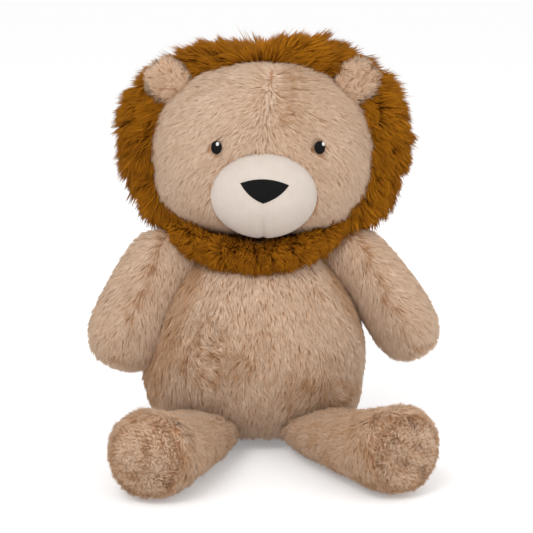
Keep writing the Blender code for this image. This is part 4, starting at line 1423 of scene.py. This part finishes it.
def add_room(scene, room_light):
    """A world that lights the lion evenly from all round and is seen as white."""
    world = bpy.data.worlds.new("white_room")
    world.use_nodes = True
    tree = world.node_tree
    room = tree.nodes["Background"]
    room.inputs["Color"].default_value = (1, 1, 1, 1)
    strength = math_node(tree, "MULTIPLY_ADD", seen_plainly(tree), 1 - room_light, room_light)
    tree.links.new(strength, room.inputs["Strength"])
    scene.world = world


class LION_OT_stage(Operator):
    """Adds the floor, the lamps, the white room and the camera at the photograph's angle"""

    bl_idname = "plush_lion.stage"
    bl_label = "Stage"

    def execute(self, context):
        scene = context.scene
        given = scene.plush_lion_stage
        add_floor(scene)
        add_room(scene, given.room_light)
        target = np.array(TARGET)
        for name, spot, size, power in LAMPS:
            lamp = bpy.data.lights.new(name, "AREA")
            lamp.size = size
            lamp.energy = getattr(given, power)
            light = bpy.data.objects.new(name, lamp)
            light.matrix_world = frame_at(spot, np.array(spot) - target, UP).T.tolist()
            scene.collection.objects.link(light)
        camera = bpy.data.objects.new("camera", bpy.data.cameras.new("camera"))
        away = np.array((0, -math.cos(given.elevation), math.sin(given.elevation)))
        camera.matrix_world = frame_at(target + away * given.distance, away, UP).T.tolist()
        camera.data.sensor_width = SENSOR_WIDTH
        camera.data.lens = camera.data.sensor_width * given.distance / given.span
        scene.collection.objects.link(camera)
        scene.camera = camera
        scene.view_settings.view_transform = "Standard"
        return {"FINISHED"}


OPERATORS = (
    LION_OT_body,
    LION_OT_head,
    LION_OT_mane,
    LION_OT_muzzle,
    LION_OT_nose,
    LION_OT_eyes,
    LION_OT_ears,
    LION_OT_arms,
    LION_OT_legs,
    LION_OT_tail,
    LION_OT_stage,
)
SETTINGS = {"plush_lion_pile": LionPile, "plush_lion_colours": LionColours, "plush_lion_stage": LionStage}


class LION_PT_pieces(Panel):
    """Lists the lion's pieces and its settings"""

    bl_idname = "LION_PT_pieces"
    bl_label = "Plush lion"
    bl_space_type = "VIEW_3D"
    bl_region_type = "UI"
    bl_category = "Plush lion"

    def draw(self, context):
        for operator in OPERATORS:
            self.layout.operator(operator.bl_idname)
        for group in SETTINGS:
            for name in getattr(context.scene, group).__annotations__:
                self.layout.prop(getattr(context.scene, group), name)


CLASSES = (*SETTINGS.values(), *OPERATORS, LION_PT_pieces)


def register():
    """Adds the classes and the scene's settings."""
    for cls in CLASSES:
        bpy.utils.register_class(cls)
    for name, group in SETTINGS.items():
        setattr(bpy.types.Scene, name, PointerProperty(type=group))


def unregister():
    """Takes them away again."""
    for name in SETTINGS:
        delattr(bpy.types.Scene, name)
    for cls in reversed(CLASSES):
        bpy.utils.unregister_class(cls)


def main():
    register()
    for operator in OPERATORS:
        group, name = operator.bl_idname.split(".")
        getattr(getattr(bpy.ops, group), name)()


if __name__ == "__main__":
    main()
